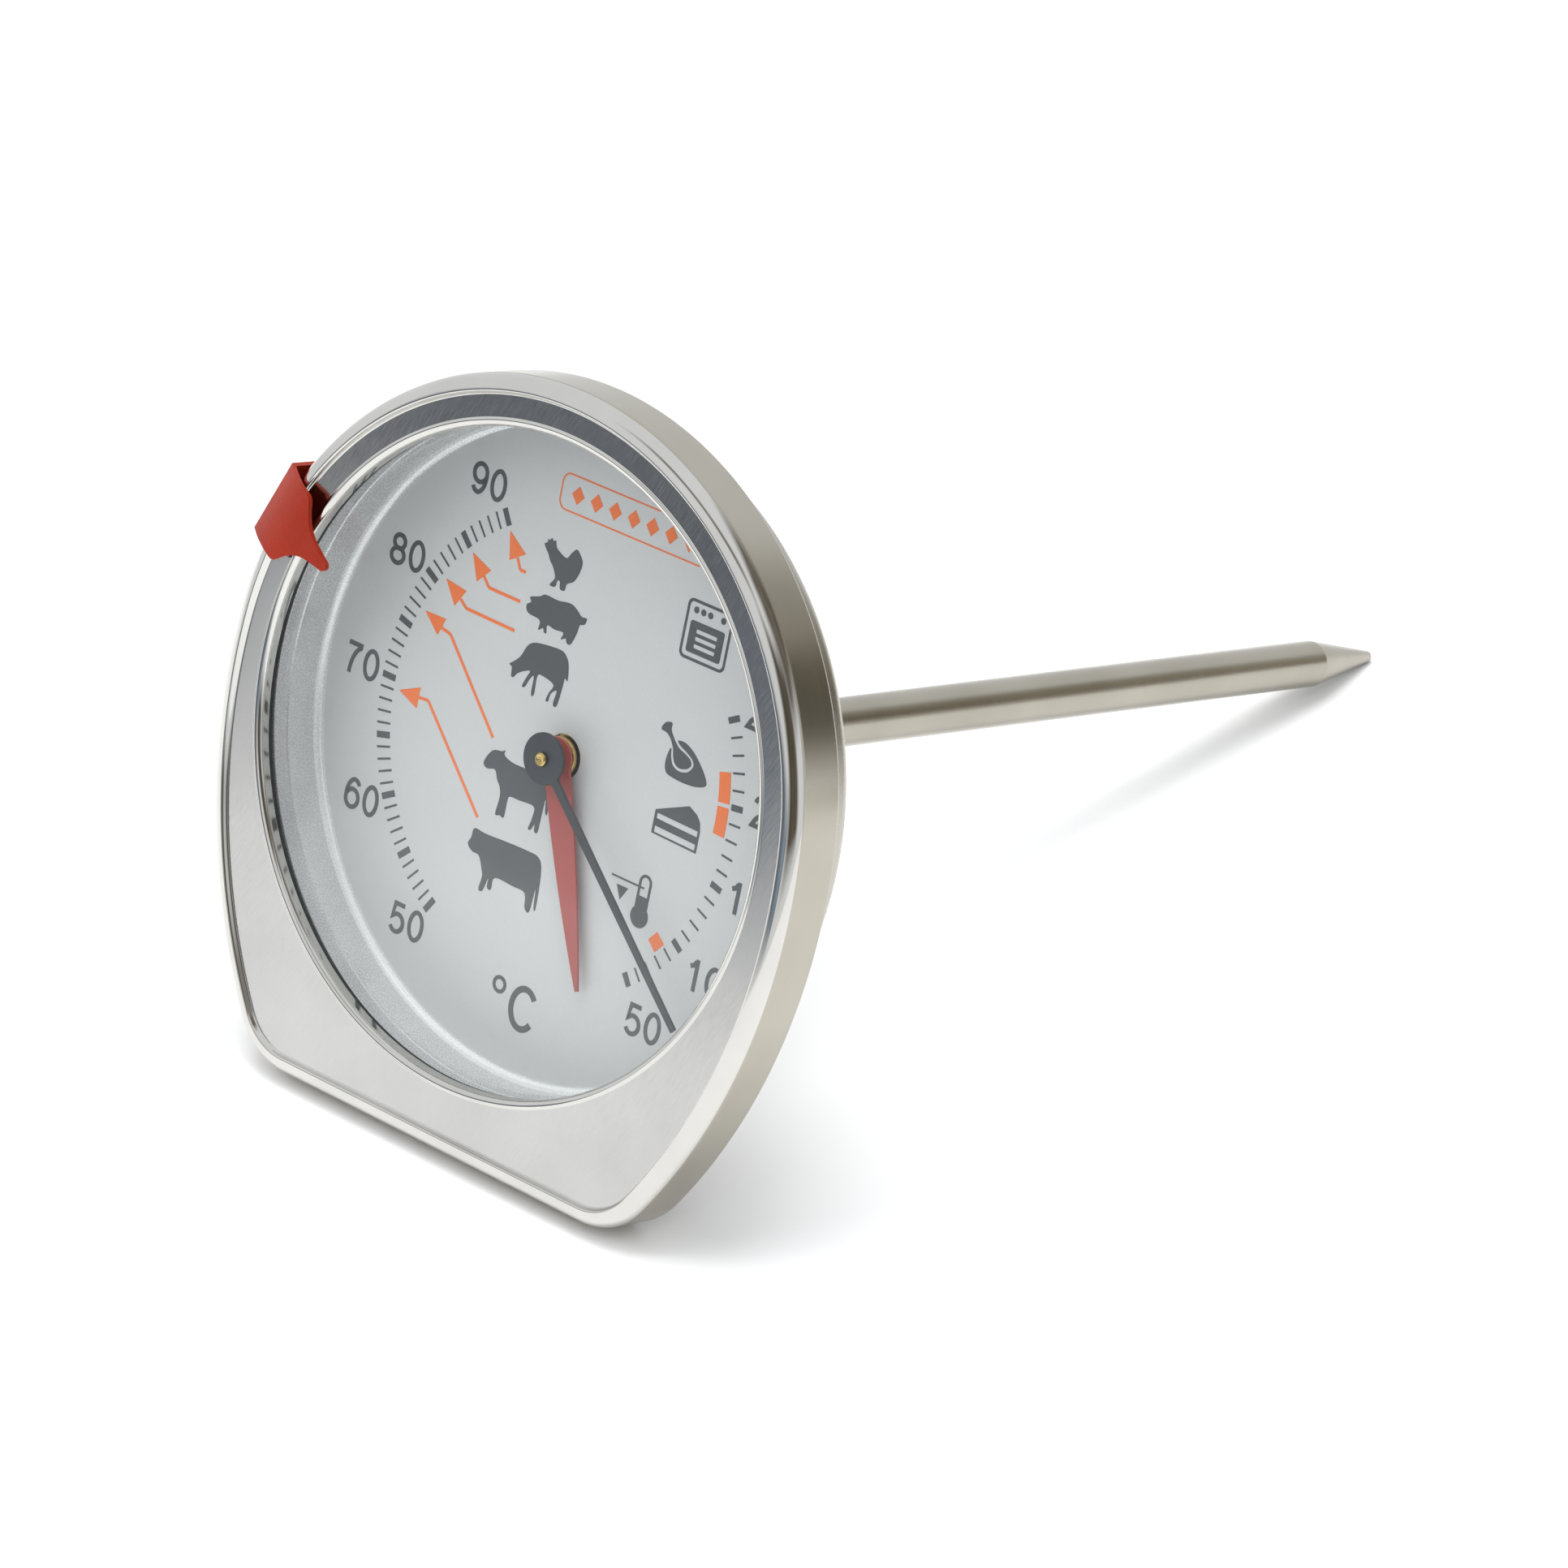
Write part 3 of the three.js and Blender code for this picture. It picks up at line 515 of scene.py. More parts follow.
SIDE_RADIUS = CROWN_RADIUS + math.hypot(SIDE_CENTRE_X, SIDE_CENTRE_Z)
CORNER_Z = CORNER_RADIUS - BASE_DROP
CORNER_REACH = SIDE_RADIUS - CORNER_RADIUS
CORNER_X = math.sqrt(CORNER_REACH ** 2 - (CORNER_Z - SIDE_CENTRE_Z) ** 2) - SIDE_CENTRE_X
CROWN_TO_SIDE = math.atan2(-SIDE_CENTRE_Z, SIDE_CENTRE_X)
SIDE_TO_CORNER = math.atan2(CORNER_Z - SIDE_CENTRE_Z, CORNER_X + SIDE_CENTRE_X)


def arc_samples(x, z, radius, start, end, steps):
    """(point, outward normal) pairs along an arc, its last point left out."""
    samples = []
    for i in range(steps):
        angle = start + (end - start) * i / steps
        normal = Vector((math.cos(angle), math.sin(angle)))
        samples.append((Vector((x, z)) + normal * radius, normal))
    return samples


def outline_samples():
    half = math.pi
    side = half - CROWN_TO_SIDE
    corner = half - SIDE_TO_CORNER
    base_steps = 40
    left_end = Vector((-CORNER_X, -BASE_DROP))
    right_end = Vector((CORNER_X, -BASE_DROP))
    base = [(left_end.lerp(right_end, i / base_steps), Vector((0, -1))) for i in range(base_steps)]
    return [
        *arc_samples(0, 0, CROWN_RADIUS, CROWN_TO_SIDE, side, 180),
        *arc_samples(SIDE_CENTRE_X, SIDE_CENTRE_Z, SIDE_RADIUS, side, corner, 36),
        *arc_samples(-CORNER_X, CORNER_Z, CORNER_RADIUS, corner, half * 1.5, 20),
        *base,
        *arc_samples(CORNER_X, CORNER_Z, CORNER_RADIUS, -half / 2, SIDE_TO_CORNER, 20),
        *arc_samples(-SIDE_CENTRE_X, SIDE_CENTRE_Z, SIDE_RADIUS, SIDE_TO_CORNER, CROWN_TO_SIDE, 36),
    ]


def section_rings(*stretches):
    """Sections that follow each stretch in turn and close on themselves.

    A stretch is ("circle", path) with its path as (radius, y), or ("outline", path) as (offset, y).
    """
    rings = []
    for point, normal in outline_samples():
        outward = point.normalized()
        ring = []
        for base, path in stretches:
            for p in path:
                place = outward * p.x if base == "circle" else point + normal * p.x
                ring.append(Vector((place.x, p.y, place.y)))
        rings.append(ring)
    return rings


def eased(x0, y0, x1, y1, steps):
    """An S-shaped step from one point to another, level at both ends."""
    path = []
    for i in range(steps + 1):
        t = i / steps
        path.append(Vector((x0 + (x1 - x0) * t, y0 + (y1 - y0) * t * t * (3 - 2 * t))))
    return path


# ---- Case, window, pan and cover ----

def make_front_case():
    roll_centre = WINDOW_RADIUS + LIP_ROLL
    panel_start = roll_centre + 0.25
    hem_edge = 0.1
    lip = [
        Vector((roll_centre, SHEET)),
        Vector((WINDOW_RADIUS + 0.5, LIP_BACK)),
        Vector((WINDOW_RADIUS, LIP_BACK)),
        *section_arc(roll_centre, LIP_CREST + LIP_ROLL, LIP_ROLL, -90, 0, 10),
        *eased(roll_centre, LIP_CREST, panel_start, 0, 6)[1:],
    ]
    edge_centre = EDGE_ROUND - BEAD_HEIGHT
    inner_wall = WALL_OFFSET - SHEET
    bead = [
        *eased(0.2, 0, BEAD_FOOT, -BEAD_HEIGHT, 10),
        *section_arc(BEAD_FOOT, edge_centre, EDGE_ROUND, 0, 90, 18)[1:],
    ]
    wall = [
        Vector((WALL_OFFSET, 2.5)),
        Vector((WALL_OFFSET, 4)),
        *section_arc(WALL_OFFSET - HEEL_ROUND, WALL_BACK - HEEL_ROUND, HEEL_ROUND, 90, 180, 6),
        Vector((HEM_OFFSET + hem_edge, WALL_BACK)),
        Vector((HEM_OFFSET, WALL_BACK - hem_edge)),
        Vector((HEM_OFFSET, HEM_FRONT)),
        Vector((inner_wall, HEM_FRONT)),
        *section_arc(BEAD_FOOT, edge_centre, EDGE_ROUND - SHEET, 90, 0, 6),
        Vector((-0.02, SHEET)),
    ]
    lip_end = len(lip) - 1
    wall_side_of_edge = 4
    bead_end = len(lip) + len(bead) - wall_side_of_edge

    def finish_of(i):
        """0 is the panel, which is the one strip after the lip, 1 the polished steel and 2 the wall, whose
        darker steel is painted shade.
        """
        if i == lip_end:
            return 0
        return 1 if i < bead_end else 2

    name = "front_case_shell"
    mesh = grid_mesh(name, section_rings(("circle", lip), ("outline", bead + wall)), finish_of)
    piece = place_piece(name, mesh, ["panel", "polished", "wall"], "head", "case_steel", "front_case")
    weighted_normals(piece)


def make_gasket():
    step = WINDOW_RADIUS + 0.85
    front = SHEET + 0.25
    lip_side = WINDOW_RADIUS + 0.12
    behind_lip = LIP_BACK + 0.03
    path = softened([
        (lip_side, behind_lip, 0.05),
        (step, behind_lip, 0),
        (step, front, 0),
        (GASKET_OUTER, front, 0.1),
        (GASKET_OUTER, GASKET_BACK, 0.1),
        (lip_side, GASKET_BACK, 0.1),
    ])
    lathed_piece("window_gasket_ring", path, "rubber", "head", "black_rubber", "window_gasket", ROUND)


def make_glass():
    seam = 0.12
    path = softened([
        (0, GLASS_FRONT, 0),
        (GLASS_RADIUS, GLASS_FRONT, seam),
        (GLASS_RADIUS, GLASS_BACK, seam),
        (0, GLASS_BACK, 0),
    ], 3)
    piece = lathed_piece("window_pane", path, "glass", "head", "window_glass", "window_glass", ROUND)
    weighted_normals(piece)


def make_dial_pan():
    slope = (PAN_RIM_RADIUS - PAN_FLOOR_RADIUS) / (PAN_FLOOR - PAN_RIM_FRONT)
    fold_radius = 0.9
    step_in = 0.12

    def wall_at(y):
        return PAN_RIM_RADIUS - (y - PAN_RIM_FRONT) * slope

    path = softened([
        (PAN_BORE, PAN_FLOOR, 0.08),
        (wall_at(PAN_FLOOR), PAN_FLOOR, fold_radius),
        (wall_at(PAN_STEP_Y), PAN_STEP_Y, 0.08),
        (wall_at(PAN_STEP_Y) + step_in, PAN_STEP_Y - 0.1, 0.08),
        (PAN_RIM_RADIUS + step_in, PAN_RIM_FRONT, 0.15),
        (PAN_FLANGE_RADIUS, PAN_RIM_FRONT, 0.1),
        (PAN_FLANGE_RADIUS, PAN_RIM_FRONT + PAN_SHEET, 0.1),
        (PAN_RIM_RADIUS + 0.5, PAN_RIM_FRONT + PAN_SHEET, 0.2),
        (wall_at(PAN_FLOOR) + PAN_SHEET, PAN_FLOOR + PAN_SHEET, fold_radius),
        (PAN_BORE, PAN_FLOOR + PAN_SHEET, 0.08),
    ], 8)
    front_points = len(path) // 2
    floor_points = sum(1 for p in path[:front_points] if p.y > PAN_FLOOR - 0.02)
    fold_points = sum(1 for p in path[:front_points] if p.y > PAN_FLOOR - 0.8)

    def finish_of(i):
        """0 is the dial, 1 the pan's wall and 2 the fold between them, in lighter silver as a painted
        highlight.
        """
        if i < floor_points - 1:
            return 0
        return 2 if i < fold_points - 1 else 1

    name = "dial_pan_shell"
    mesh = lathe_mesh(name, path, ROUND, finish_of)
    piece = place_piece(name, mesh, ["dial", "pan_wall", "pan_fold_highlight"], "head", "dial_silver", "dial_pan")
    weighted_normals(piece)


def make_back_cover():
    fillet = 0.45
    dish_corner = 1.1
    skin_round = 0.1
    dish_side = [
        Vector((STEM_BORE, DISH_FLOOR_FRONT)),
        *section_arc(DISH_INNER - dish_corner, DISH_FLOOR_FRONT - dish_corner, dish_corner, 180, 90, 8),
        Vector((DISH_INNER, COVER_FRONT)),
    ]
    plate_edge = softened([
        (COVER_OFFSET - 2, COVER_FRONT, 0),
        (COVER_OFFSET, COVER_FRONT, 0.12),
        (COVER_OFFSET, COVER_BACK, 0.12),
        (COVER_OFFSET - 1.2, COVER_BACK, 0),
    ], 3)
    back_side = [
        *section_arc(DISH_OUTER + fillet, COVER_BACK + fillet, fillet, 0, -90, 6),
        Vector((DISH_OUTER, DISH_FLOOR_BACK - DISH_ROUND - 1.5)),
        *section_arc(DISH_OUTER - DISH_ROUND, DISH_FLOOR_BACK - DISH_ROUND, DISH_ROUND, 90, 180, 12),
        Vector((20, DISH_FLOOR_BACK)),
        Vector((STEM_BORE + skin_round, DISH_FLOOR_BACK)),
        Vector((STEM_BORE, DISH_FLOOR_BACK - skin_round)),
    ]
    rings = section_rings(("circle", dish_side), ("outline", plate_edge), ("circle", back_side))
    mesh = grid_mesh("back_cover_shell", rings)
    piece = place_piece("back_cover_shell", mesh, ["cover"], "head", "case_steel", "back_cover")
    weighted_normals(piece)


# ---- Probe and its fittings ----

def make_probe():
    tip_centre = PROBE_END - TIP_RADIUS
    cone_angle = math.degrees(math.atan2(PROBE_RADIUS - TIP_RADIUS, tip_centre - CONE_START))
    tip = oval(0, tip_centre, TIP_RADIUS, TIP_RADIUS, cone_angle, 90, 10)
    plug_front = CONE_START - 0.6
    path = softened([
        (0, plug_front, 0),
        (PROBE_BORE, plug_front, 0),
        (PROBE_BORE, PROBE_FRONT, 0.05),
        (PROBE_RADIUS, PROBE_FRONT, 0.05),
        (PROBE_RADIUS, 40, 0),
        (PROBE_RADIUS, 80, 0),
        (PROBE_RADIUS, CONE_START, 1.2),
        *[(radius, y, 0) for radius, y in tip[:-1]],
        (0, PROBE_END, 0),
    ], 6)
    lathed_piece("probe_shell", path, "probe", "head", "probe_steel", "probe_tube")


def make_stem_washer():
    outer = 5.6
    path = washer_path(FITTING_BORE, outer, DISH_FLOOR_BACK + 0.15, DISH_FLOOR_BACK + 0.55)
    lathed_piece("stem_washer_disc", path, "fitting", "head", "case_steel", "stem_washer")


def make_stem_nut():
    sides = 6
    flat_reach = 4.5
    corner_reach = flat_reach / math.cos(math.pi / sides)
    rim = flat_reach + 0.25
    front = DISH_FLOOR_BACK + 0.7
    back = front + 2.5
    chamfer = 0.35
    corner_drop = 0.8
    levels = [
        (rim, front), (rim + chamfer, front + chamfer), (corner_reach, front + corner_drop),
        (corner_reach, back - corner_drop), (rim + chamfer, back - chamfer), (rim, back),
    ]
    rings = []
    segments = 180
    for k in range(segments):
        angle = TAU * k / segments
        from_flat = (angle + math.pi / sides) % (TAU / sides) - math.pi / sides
        flat = flat_reach / math.cos(from_flat)
        levels_here = [(min(flat, limit), y) for limit, y in levels]
        section = [(FITTING_BORE, front), *levels_here, (FITTING_BORE, back)]
        rings.append([Vector((r * math.sin(angle), y, r * math.cos(angle))) for r, y in section])
    mesh = grid_mesh("stem_nut_hexagon", rings)
    mesh.set_sharp_from_angle(angle=math.radians(20))
    place_piece("stem_nut_hexagon", mesh, ["fitting"], "head", "case_steel", "stem_nut")


def make_stem_collar():
    front = DISH_FLOOR_BACK + 3.35
    back = front + 1.8
    outer = PROBE_RADIUS + 1.1
    path = softened([
        (FITTING_BORE, front, 0.05),
        (outer, front, 0.1),
        (outer, front + 1, 0.4),
        (PROBE_RADIUS + 0.55, back, 0.2),
        (FITTING_BORE, back, 0.05),
    ])
    lathed_piece("stem_collar_ring", path, "fitting", "head", "case_steel", "stem_collar")


# ---- Pointers and hub ----

def inside(point, loops):
    """Whether a point lies inside an outline and outside its holes."""
    crossings = 0
    for loop in loops:
        for (ax, az), (bx, bz) in zip(loop, loop[1:] + loop[:1]):
            spans = (az > point.y) != (bz > point.y)
            if spans and point.x < ax + (bx - ax) * (point.y - az) / (bz - az):
                crossings += 1
    return crossings % 2 == 1


def filled_triangles(loops):
    """Triangles, as point indices, that fill an outline and leave its holes open."""
    points = [Vector((x, z)) for loop in loops for x, z in loop]
    edges = []
    start = 0
    for loop in loops:
        count = len(loop)
        edges.extend((start + i, start + (i + 1) % count) for i in range(count))
        start += count
    whole_hull = 0
    _, _, faces, sources, _, _ = delaunay_2d_cdt(points, edges, [], whole_hull, 1e-6)
    triangles = [[sources[i][0] for i in face] for face in faces]
    return [t for t in triangles if inside(sum((points[i] for i in t), Vector((0, 0))) / 3, loops)]


def prism_into(bm, loops, front, back):
    """Adds a closed flat solid to a bmesh: loops are an outline and its holes, in the dial's X and Z."""
    points = [point for loop in loops for point in loop]
    front_verts = [bm.verts.new((x, front, z)) for x, z in points]
    back_verts = [bm.verts.new((x, back, z)) for x, z in points]
    faces = []
    for triangle in filled_triangles(loops):
        for verts in (front_verts, back_verts):
            faces.append(bm.faces.new([verts[i] for i in triangle]))
    start = 0
    for loop in loops:
        count = len(loop)
        for i in range(count):
            a = start + i
            b = start + (i + 1) % count
            faces.append(bm.faces.new([front_verts[a], front_verts[b], back_verts[b], back_verts[a]]))
        start += count
    bmesh.ops.recalc_face_normals(bm, faces=faces)


def pointer_loops(hub_radius, hole_radius, root_width, tip_width, length, bulge=0.0):
    """A pointer from a hub disc up to a square tip, its sides straight or bowed out by a bulge."""
    root_angle = math.asin(root_width / 2 / hub_radius)
    root = Vector((root_width / 2, hub_radius * math.cos(root_angle)))
    tip = Vector((tip_width / 2, length))
    middle = (root + tip) / 2 + Vector((bulge, 0))
    start = 90 + math.degrees(root_angle)
    hub = oval(0, 0, hub_radius, hub_radius, start, 540 - start, 60)
    side = bend(root, middle, tip, 20 if bulge else 1)[1:]
    outline = [*hub, *[(p.x, p.y) for p in side], *[(-p.x, p.y) for p in reversed(side)]]
    return [outline, circle_loop(hole_radius)]


def make_pointer(name, loops, front, back, finish_name, body, slot, node, turn, edge):
    bm = bmesh.new()
    prism_into(bm, loops, front, back)
    blade = place_piece(name, mesh_from(bm, name), [finish_name], body, slot, node, turn=turn)
    bevelled(blade, edge)


def make_meat_pointer():
    loops = pointer_loops(2.35, 0.6, 0.85, 0.6, 27.1)
    make_pointer("meat_pointer_blade", loops, MEAT_POINTER_FRONT, MEAT_POINTER_BACK, "black",
                 "meat_movement", "black_paint", "meat_pointer", MEAT_POINTER_ANGLE, 0.05)


def make_oven_pointer():
    loops = pointer_loops(1.85, 1.05, 3, 0.35, 20.6, 0.6)
    make_pointer("oven_pointer_blade", loops, OVEN_POINTER_FRONT, OVEN_POINTER_BACK, "red",
                 "oven_movement", "red_paint", "oven_pointer", OVEN_POINTER_ANGLE, 0.04)


def make_spindle():
    """The meat pointer's spindle, with the riveted head that shows in the pointer's middle."""
    spindle_radius = 0.5
    flange_radius = 0.62
    spindle_end = 110
    path = softened([
        (0, 5.12, 0),
        (0.16, 5.12, 0.05),
        (0.26, 4.97, 0.05),
        (spindle_radius, 4.93, 0.12),
        (flange_radius, 5.05, 0.06),
        (flange_radius, 5.32, 0.05),
        (spindle_radius, 5.38, 0.02),
        (spindle_radius, spindle_end, 0.1),
        (0, spindle_end, 0),
    ], 4)
    lathed_piece("spindle_rod", path, "brass", "meat_movement", "brass", "spindle", 48)


def make_brass_rings():
    """The turned brass under and between the pointers."""
    rings = [
        ("meat_collet", "meat_movement", "meat_pointer_collet", washer_path(0.6, 1.4, 5.78, 6.1, 0.1)),
        ("oven_boss", "oven_movement", "oven_pointer_hub", washer_path(1.1, 1.85, 7.35, 7.85, 0.14)),
        ("oven_sleeve", "oven_movement", "oven_arbor", washer_path(0.7, 1.0, 6.3, 9.85, 0.05)),
    ]
    for name, body, node, path in rings:
        lathed_piece(name, path, "brass", body, "brass", node)


# ---- Marker clip ----

def clip_half_width(reach, folded):
    """Half the strip's width at a distance from the dial's axis; past the shoulders it is straight."""
    if folded or reach > CLIP_STRAIGHT:
        return CLIP_HALF_WIDTH
    round_end = CLIP_POINT + CLIP_TIP_ROUND
    if reach < round_end:
        thinnest = 0.02
        return max(thinnest, math.sqrt(max(0.0, CLIP_TIP_ROUND ** 2 - (round_end - reach) ** 2)))
    if reach < CLIP_SHOULDER:
        flare = 1.5
        taper = CLIP_SHOULDER_HALF_WIDTH - CLIP_TIP_ROUND - flare
        t = (reach - round_end) / (CLIP_SHOULDER - round_end)
        return CLIP_TIP_ROUND + taper * t + flare * t ** 4
    t = (reach - CLIP_SHOULDER) / (CLIP_STRAIGHT - CLIP_SHOULDER)
    rest = CLIP_HALF_WIDTH - CLIP_SHOULDER_HALF_WIDTH
    return CLIP_SHOULDER_HALF_WIDTH + rest * math.sin(t * math.pi / 2)


def clip_path():
    """The strip's middle line, as (distance from the dial's axis, y): leaf, bow, fold and hook."""
    leaf = -BEAD_HEIGHT - CLIP_GAP - CLIP_SHEET / 2
    wall = CROWN_RADIUS + WALL_OFFSET + 2 * CLIP_GAP + CLIP_SHEET / 2
    hook = WALL_BACK + CLIP_GAP + CLIP_SHEET / 2
    bow_start = CROWN_RADIUS + BEAD_FOOT - 1.9
    bow_end = wall - 0.25
    path = []
    leaf_rows = 24
    for i in range(leaf_rows):
        path.append(Vector((CLIP_POINT + (bow_start - CLIP_POINT) * (i / leaf_rows) ** 1.3, leaf)))
    bow_rows = 10
    for i in range(bow_rows):
        t = i / bow_rows
        path.append(Vector((bow_start + (bow_end - bow_start) * t, leaf * (1 - t * t))))
    fold = softened([(bow_end, 0, 0), (wall, 0.12, 0.2), (wall, hook, 0.75), (DISH_OUTER + 0.7, hook, 0)], 8)
    return path + fold


def make_clip():
    path = clip_path()
    columns = 14
    bm = bmesh.new()
    grid = []
    for i, p in enumerate(path):
        along = (path[min(i + 1, len(path) - 1)] - path[max(i - 1, 0)]).normalized()
        outward = Vector((along.y, -along.x)) * CLIP_SHEET / 2
        half = clip_half_width(p.x, p.y > 0)
        sideways = [half * (2 * c / columns - 1) for c in range(columns + 1)]
        outer = [(x, p.y + outward.y, p.x + outward.x) for x in sideways]
        inner = [(x, p.y - outward.y, p.x - outward.x) for x in reversed(sideways)]
        grid.append([bm.verts.new(point) for point in outer + inner])
    count = len(grid[0])
    for row, following in zip(grid, grid[1:]):
        for i in range(count):
            j = (i + 1) % count
            bm.faces.new((row[i], row[j], following[j], following[i]))
    for row in (grid[0], grid[-1]):
        for i in range(columns):
            bm.faces.new((row[i], row[i + 1], row[count - 2 - i], row[count - 1 - i]))
    bmesh.ops.recalc_face_normals(bm, faces=bm.faces)
    name = "marker_clip_strip"
    mesh = smooth_shaded(mesh_from(bm, name))
    piece = place_piece(name, mesh, ["enamel"], "marker", "orange_enamel", "marker_clip", turn=CLIP_ANGLE)
    bevelled(piece, 0.07)


# ---- Dial print ----

INK_FRONT = PAN_FLOOR - 0.025
INK_BACK = PAN_FLOOR - 0.002


def polar(radius, degrees):
    angle = math.radians(degrees)
    return Vector((radius * math.sin(angle), radius * math.cos(angle)))


def smooth_loop(points, steps=4):
    """A closed Catmull-Rom curve through given points."""
    count = len(points)
    loop = []
    for i in range(count):
        p0, p1, p2, p3 = (Vector(points[(i + k) % count]) for k in (-1, 0, 1, 2))
        for s in range(steps):
            t = s / steps
            point = (2 * p1 + (p2 - p0) * t + (2 * p0 - 5 * p1 + 4 * p2 - p3) * t * t
                     + (3 * p1 - p0 - 3 * p2 + p3) * t ** 3) * 0.5
            loop.append((point.x, point.y))
    return loop


def rounded_rect(left, bottom, right, top, radius):
    corners = [
        (right - radius, top - radius), (left + radius, top - radius),
        (left + radius, bottom + radius), (right - radius, bottom + radius),
    ]
    loop = []
    for quarter, (x, z) in enumerate(corners):
        loop.extend(oval(x, z, radius, radius, 90 * quarter, 90 * quarter + 90, 6))
    return loop


def bar(start, end, width):
    """A straight stroke with square ends."""
    start = Vector(start)
    end = Vector(end)
    side = (end - start).orthogonal().normalized() * width / 2
    return [tuple(start + side), tuple(end + side), tuple(end - side), tuple(start - side)]


def ticks(first, step, count, every, inner, outer, thick, thin):
    loops = []
    for k in range(count):
        width = thick if k % every == 0 else thin
        degrees = first + step(k)
        loops.append([bar(polar(inner, degrees), polar(outer, degrees), width)])
    return loops


def meat_scale():
    per_degree = 2.858
    return ticks(213.4, lambda k: per_degree * k, 41, 5, 20.9, 22.5, 0.6, 0.2)


def oven_scale():
    def closing(k):
        fifties = k / 5
        return -18.75 * fifties - 0.43 * fifties ** 2
    return ticks(143.9, closing, 21, 5, 19.75, 21.05, 0.58, 0.2)


def arc_block(inner, outer, start, end, steps=8):
    outer_side = [tuple(polar(outer, start + (end - start) * i / steps)) for i in range(steps + 1)]
    inner_side = [tuple(polar(inner, end - (end - start) * i / steps)) for i in range(steps + 1)]
    return [outer_side + inner_side]


def stroke_into(bm, path, width, closed=False, front=INK_FRONT):
    """Adds a drawn line of even width along a path, as a closed flat solid."""
    points = [Vector(point) for point in path]
    count = len(points)
    sections = []
    for i, point in enumerate(points):
        arriving = point - points[i - 1] if closed or i > 0 else None
        leaving = points[(i + 1) % count] - point if closed or i < count - 1 else None
        arriving = (arriving or leaving).normalized()
        leaving = (leaving or arriving).normalized()
        middle = (arriving + leaving).normalized()
        side = Vector((-middle.y, middle.x)) * width / 2 / max(0.5, middle.dot(arriving))
        left = point + side
        right = point - side
        corners = [(left, front), (right, front), (right, INK_BACK), (left, INK_BACK)]
        sections.append([bm.verts.new((corner.x, y, corner.y)) for corner, y in corners])
    faces = []
    for k in range(count if closed else count - 1):
        here = sections[k]
        there = sections[(k + 1) % count]
        for i in range(4):
            j = (i + 1) % 4
            faces.append(bm.faces.new((here[i], here[j], there[j], there[i])))
    if not closed:
        faces.append(bm.faces.new(sections[0]))
        faces.append(bm.faces.new(sections[-1]))
    bmesh.ops.recalc_face_normals(bm, faces=faces)


def digit_strokes(digit):
    """A digit's centre lines, each with whether it closes, in a frame from -1 to 1 both ways."""
    if digit == "0":
        return [(oval(0, 0, 1, 1, 0, 360, 36)[:-1], True)]
    if digit == "1":
        flag = [(-0.75, 0.52), (-0.2, 0.66), (0.06, 0.95)]
        return [(flag, False), ([(0.25, 1.13), (0.25, -1.13)], False)]
    if digit == "2":
        return [(oval(0, 0.45, 0.95, 0.55, 170, -20) + [(-0.55, -0.55), (-0.95, -1), (1.1, -1)], False)]
    if digit == "5":
        return [([(0.9, 1), (-0.62, 1), (-0.85, 0.02)] + oval(-0.02, -0.36, 1, 0.64, 128, -152), False)]
    if digit == "6":
        return [(oval(0.02, 0.4, 0.92, 0.6, 25, 95, 8) + oval(0.1, -0.1, 1.1, 1.1, 100, 180, 10)
                 + oval(0, -0.36, 1, 0.64, 180, 515, 30), False)]
    if digit == "7":
        return [([(-1, 1), (1, 1)] + oval(1.35, -1.13, 1.65, 2.0, 103, 180, 8), False)]
    if digit == "8":
        upper = oval(0, 0.51, 0.86, 0.49, 0, 360, 30)[:-1]
        lower = oval(0, -0.47, 1, 0.53, 0, 360, 30)[:-1]
        return [(upper, True), (lower, True)]
    return [([(-x, -z) for x, z in path], closed) for path, closed in digit_strokes("6")]


NUMERAL_HEIGHT = 3.0
NUMERAL_STROKE = 0.43
NUMERAL_PITCH = 2.3
NUMERALS = [
    ("90", -14.4, 20.7), ("80", -22.25, 11.6), ("70", -25.2, 0.4), ("60", -22.25, -11.5),
    ("50", -14.2, -20.6), ("50", 14.8, -19.65), ("100", 21.6, -13.4), ("150", 24.4, -5.3),
    ("200", 25.2, 2.75), ("250", 22.6, 10.8),
]


def number_into(bm, text, x, z):
    """A number in plain upright digits, centred on a point."""
    half_width = 0.76
    half_height = (NUMERAL_HEIGHT - NUMERAL_STROKE) / 2
    layer_gap = 0.002
    for k, digit in enumerate(text):
        centre = x + (k - (len(text) - 1) / 2) * NUMERAL_PITCH
        for layer, (path, closed) in enumerate(digit_strokes(digit)):
            placed = [(centre + half_width * u, z + half_height * v) for u, v in path]
            stroke_into(bm, placed, NUMERAL_STROKE, closed, INK_FRONT - layer_gap * layer)


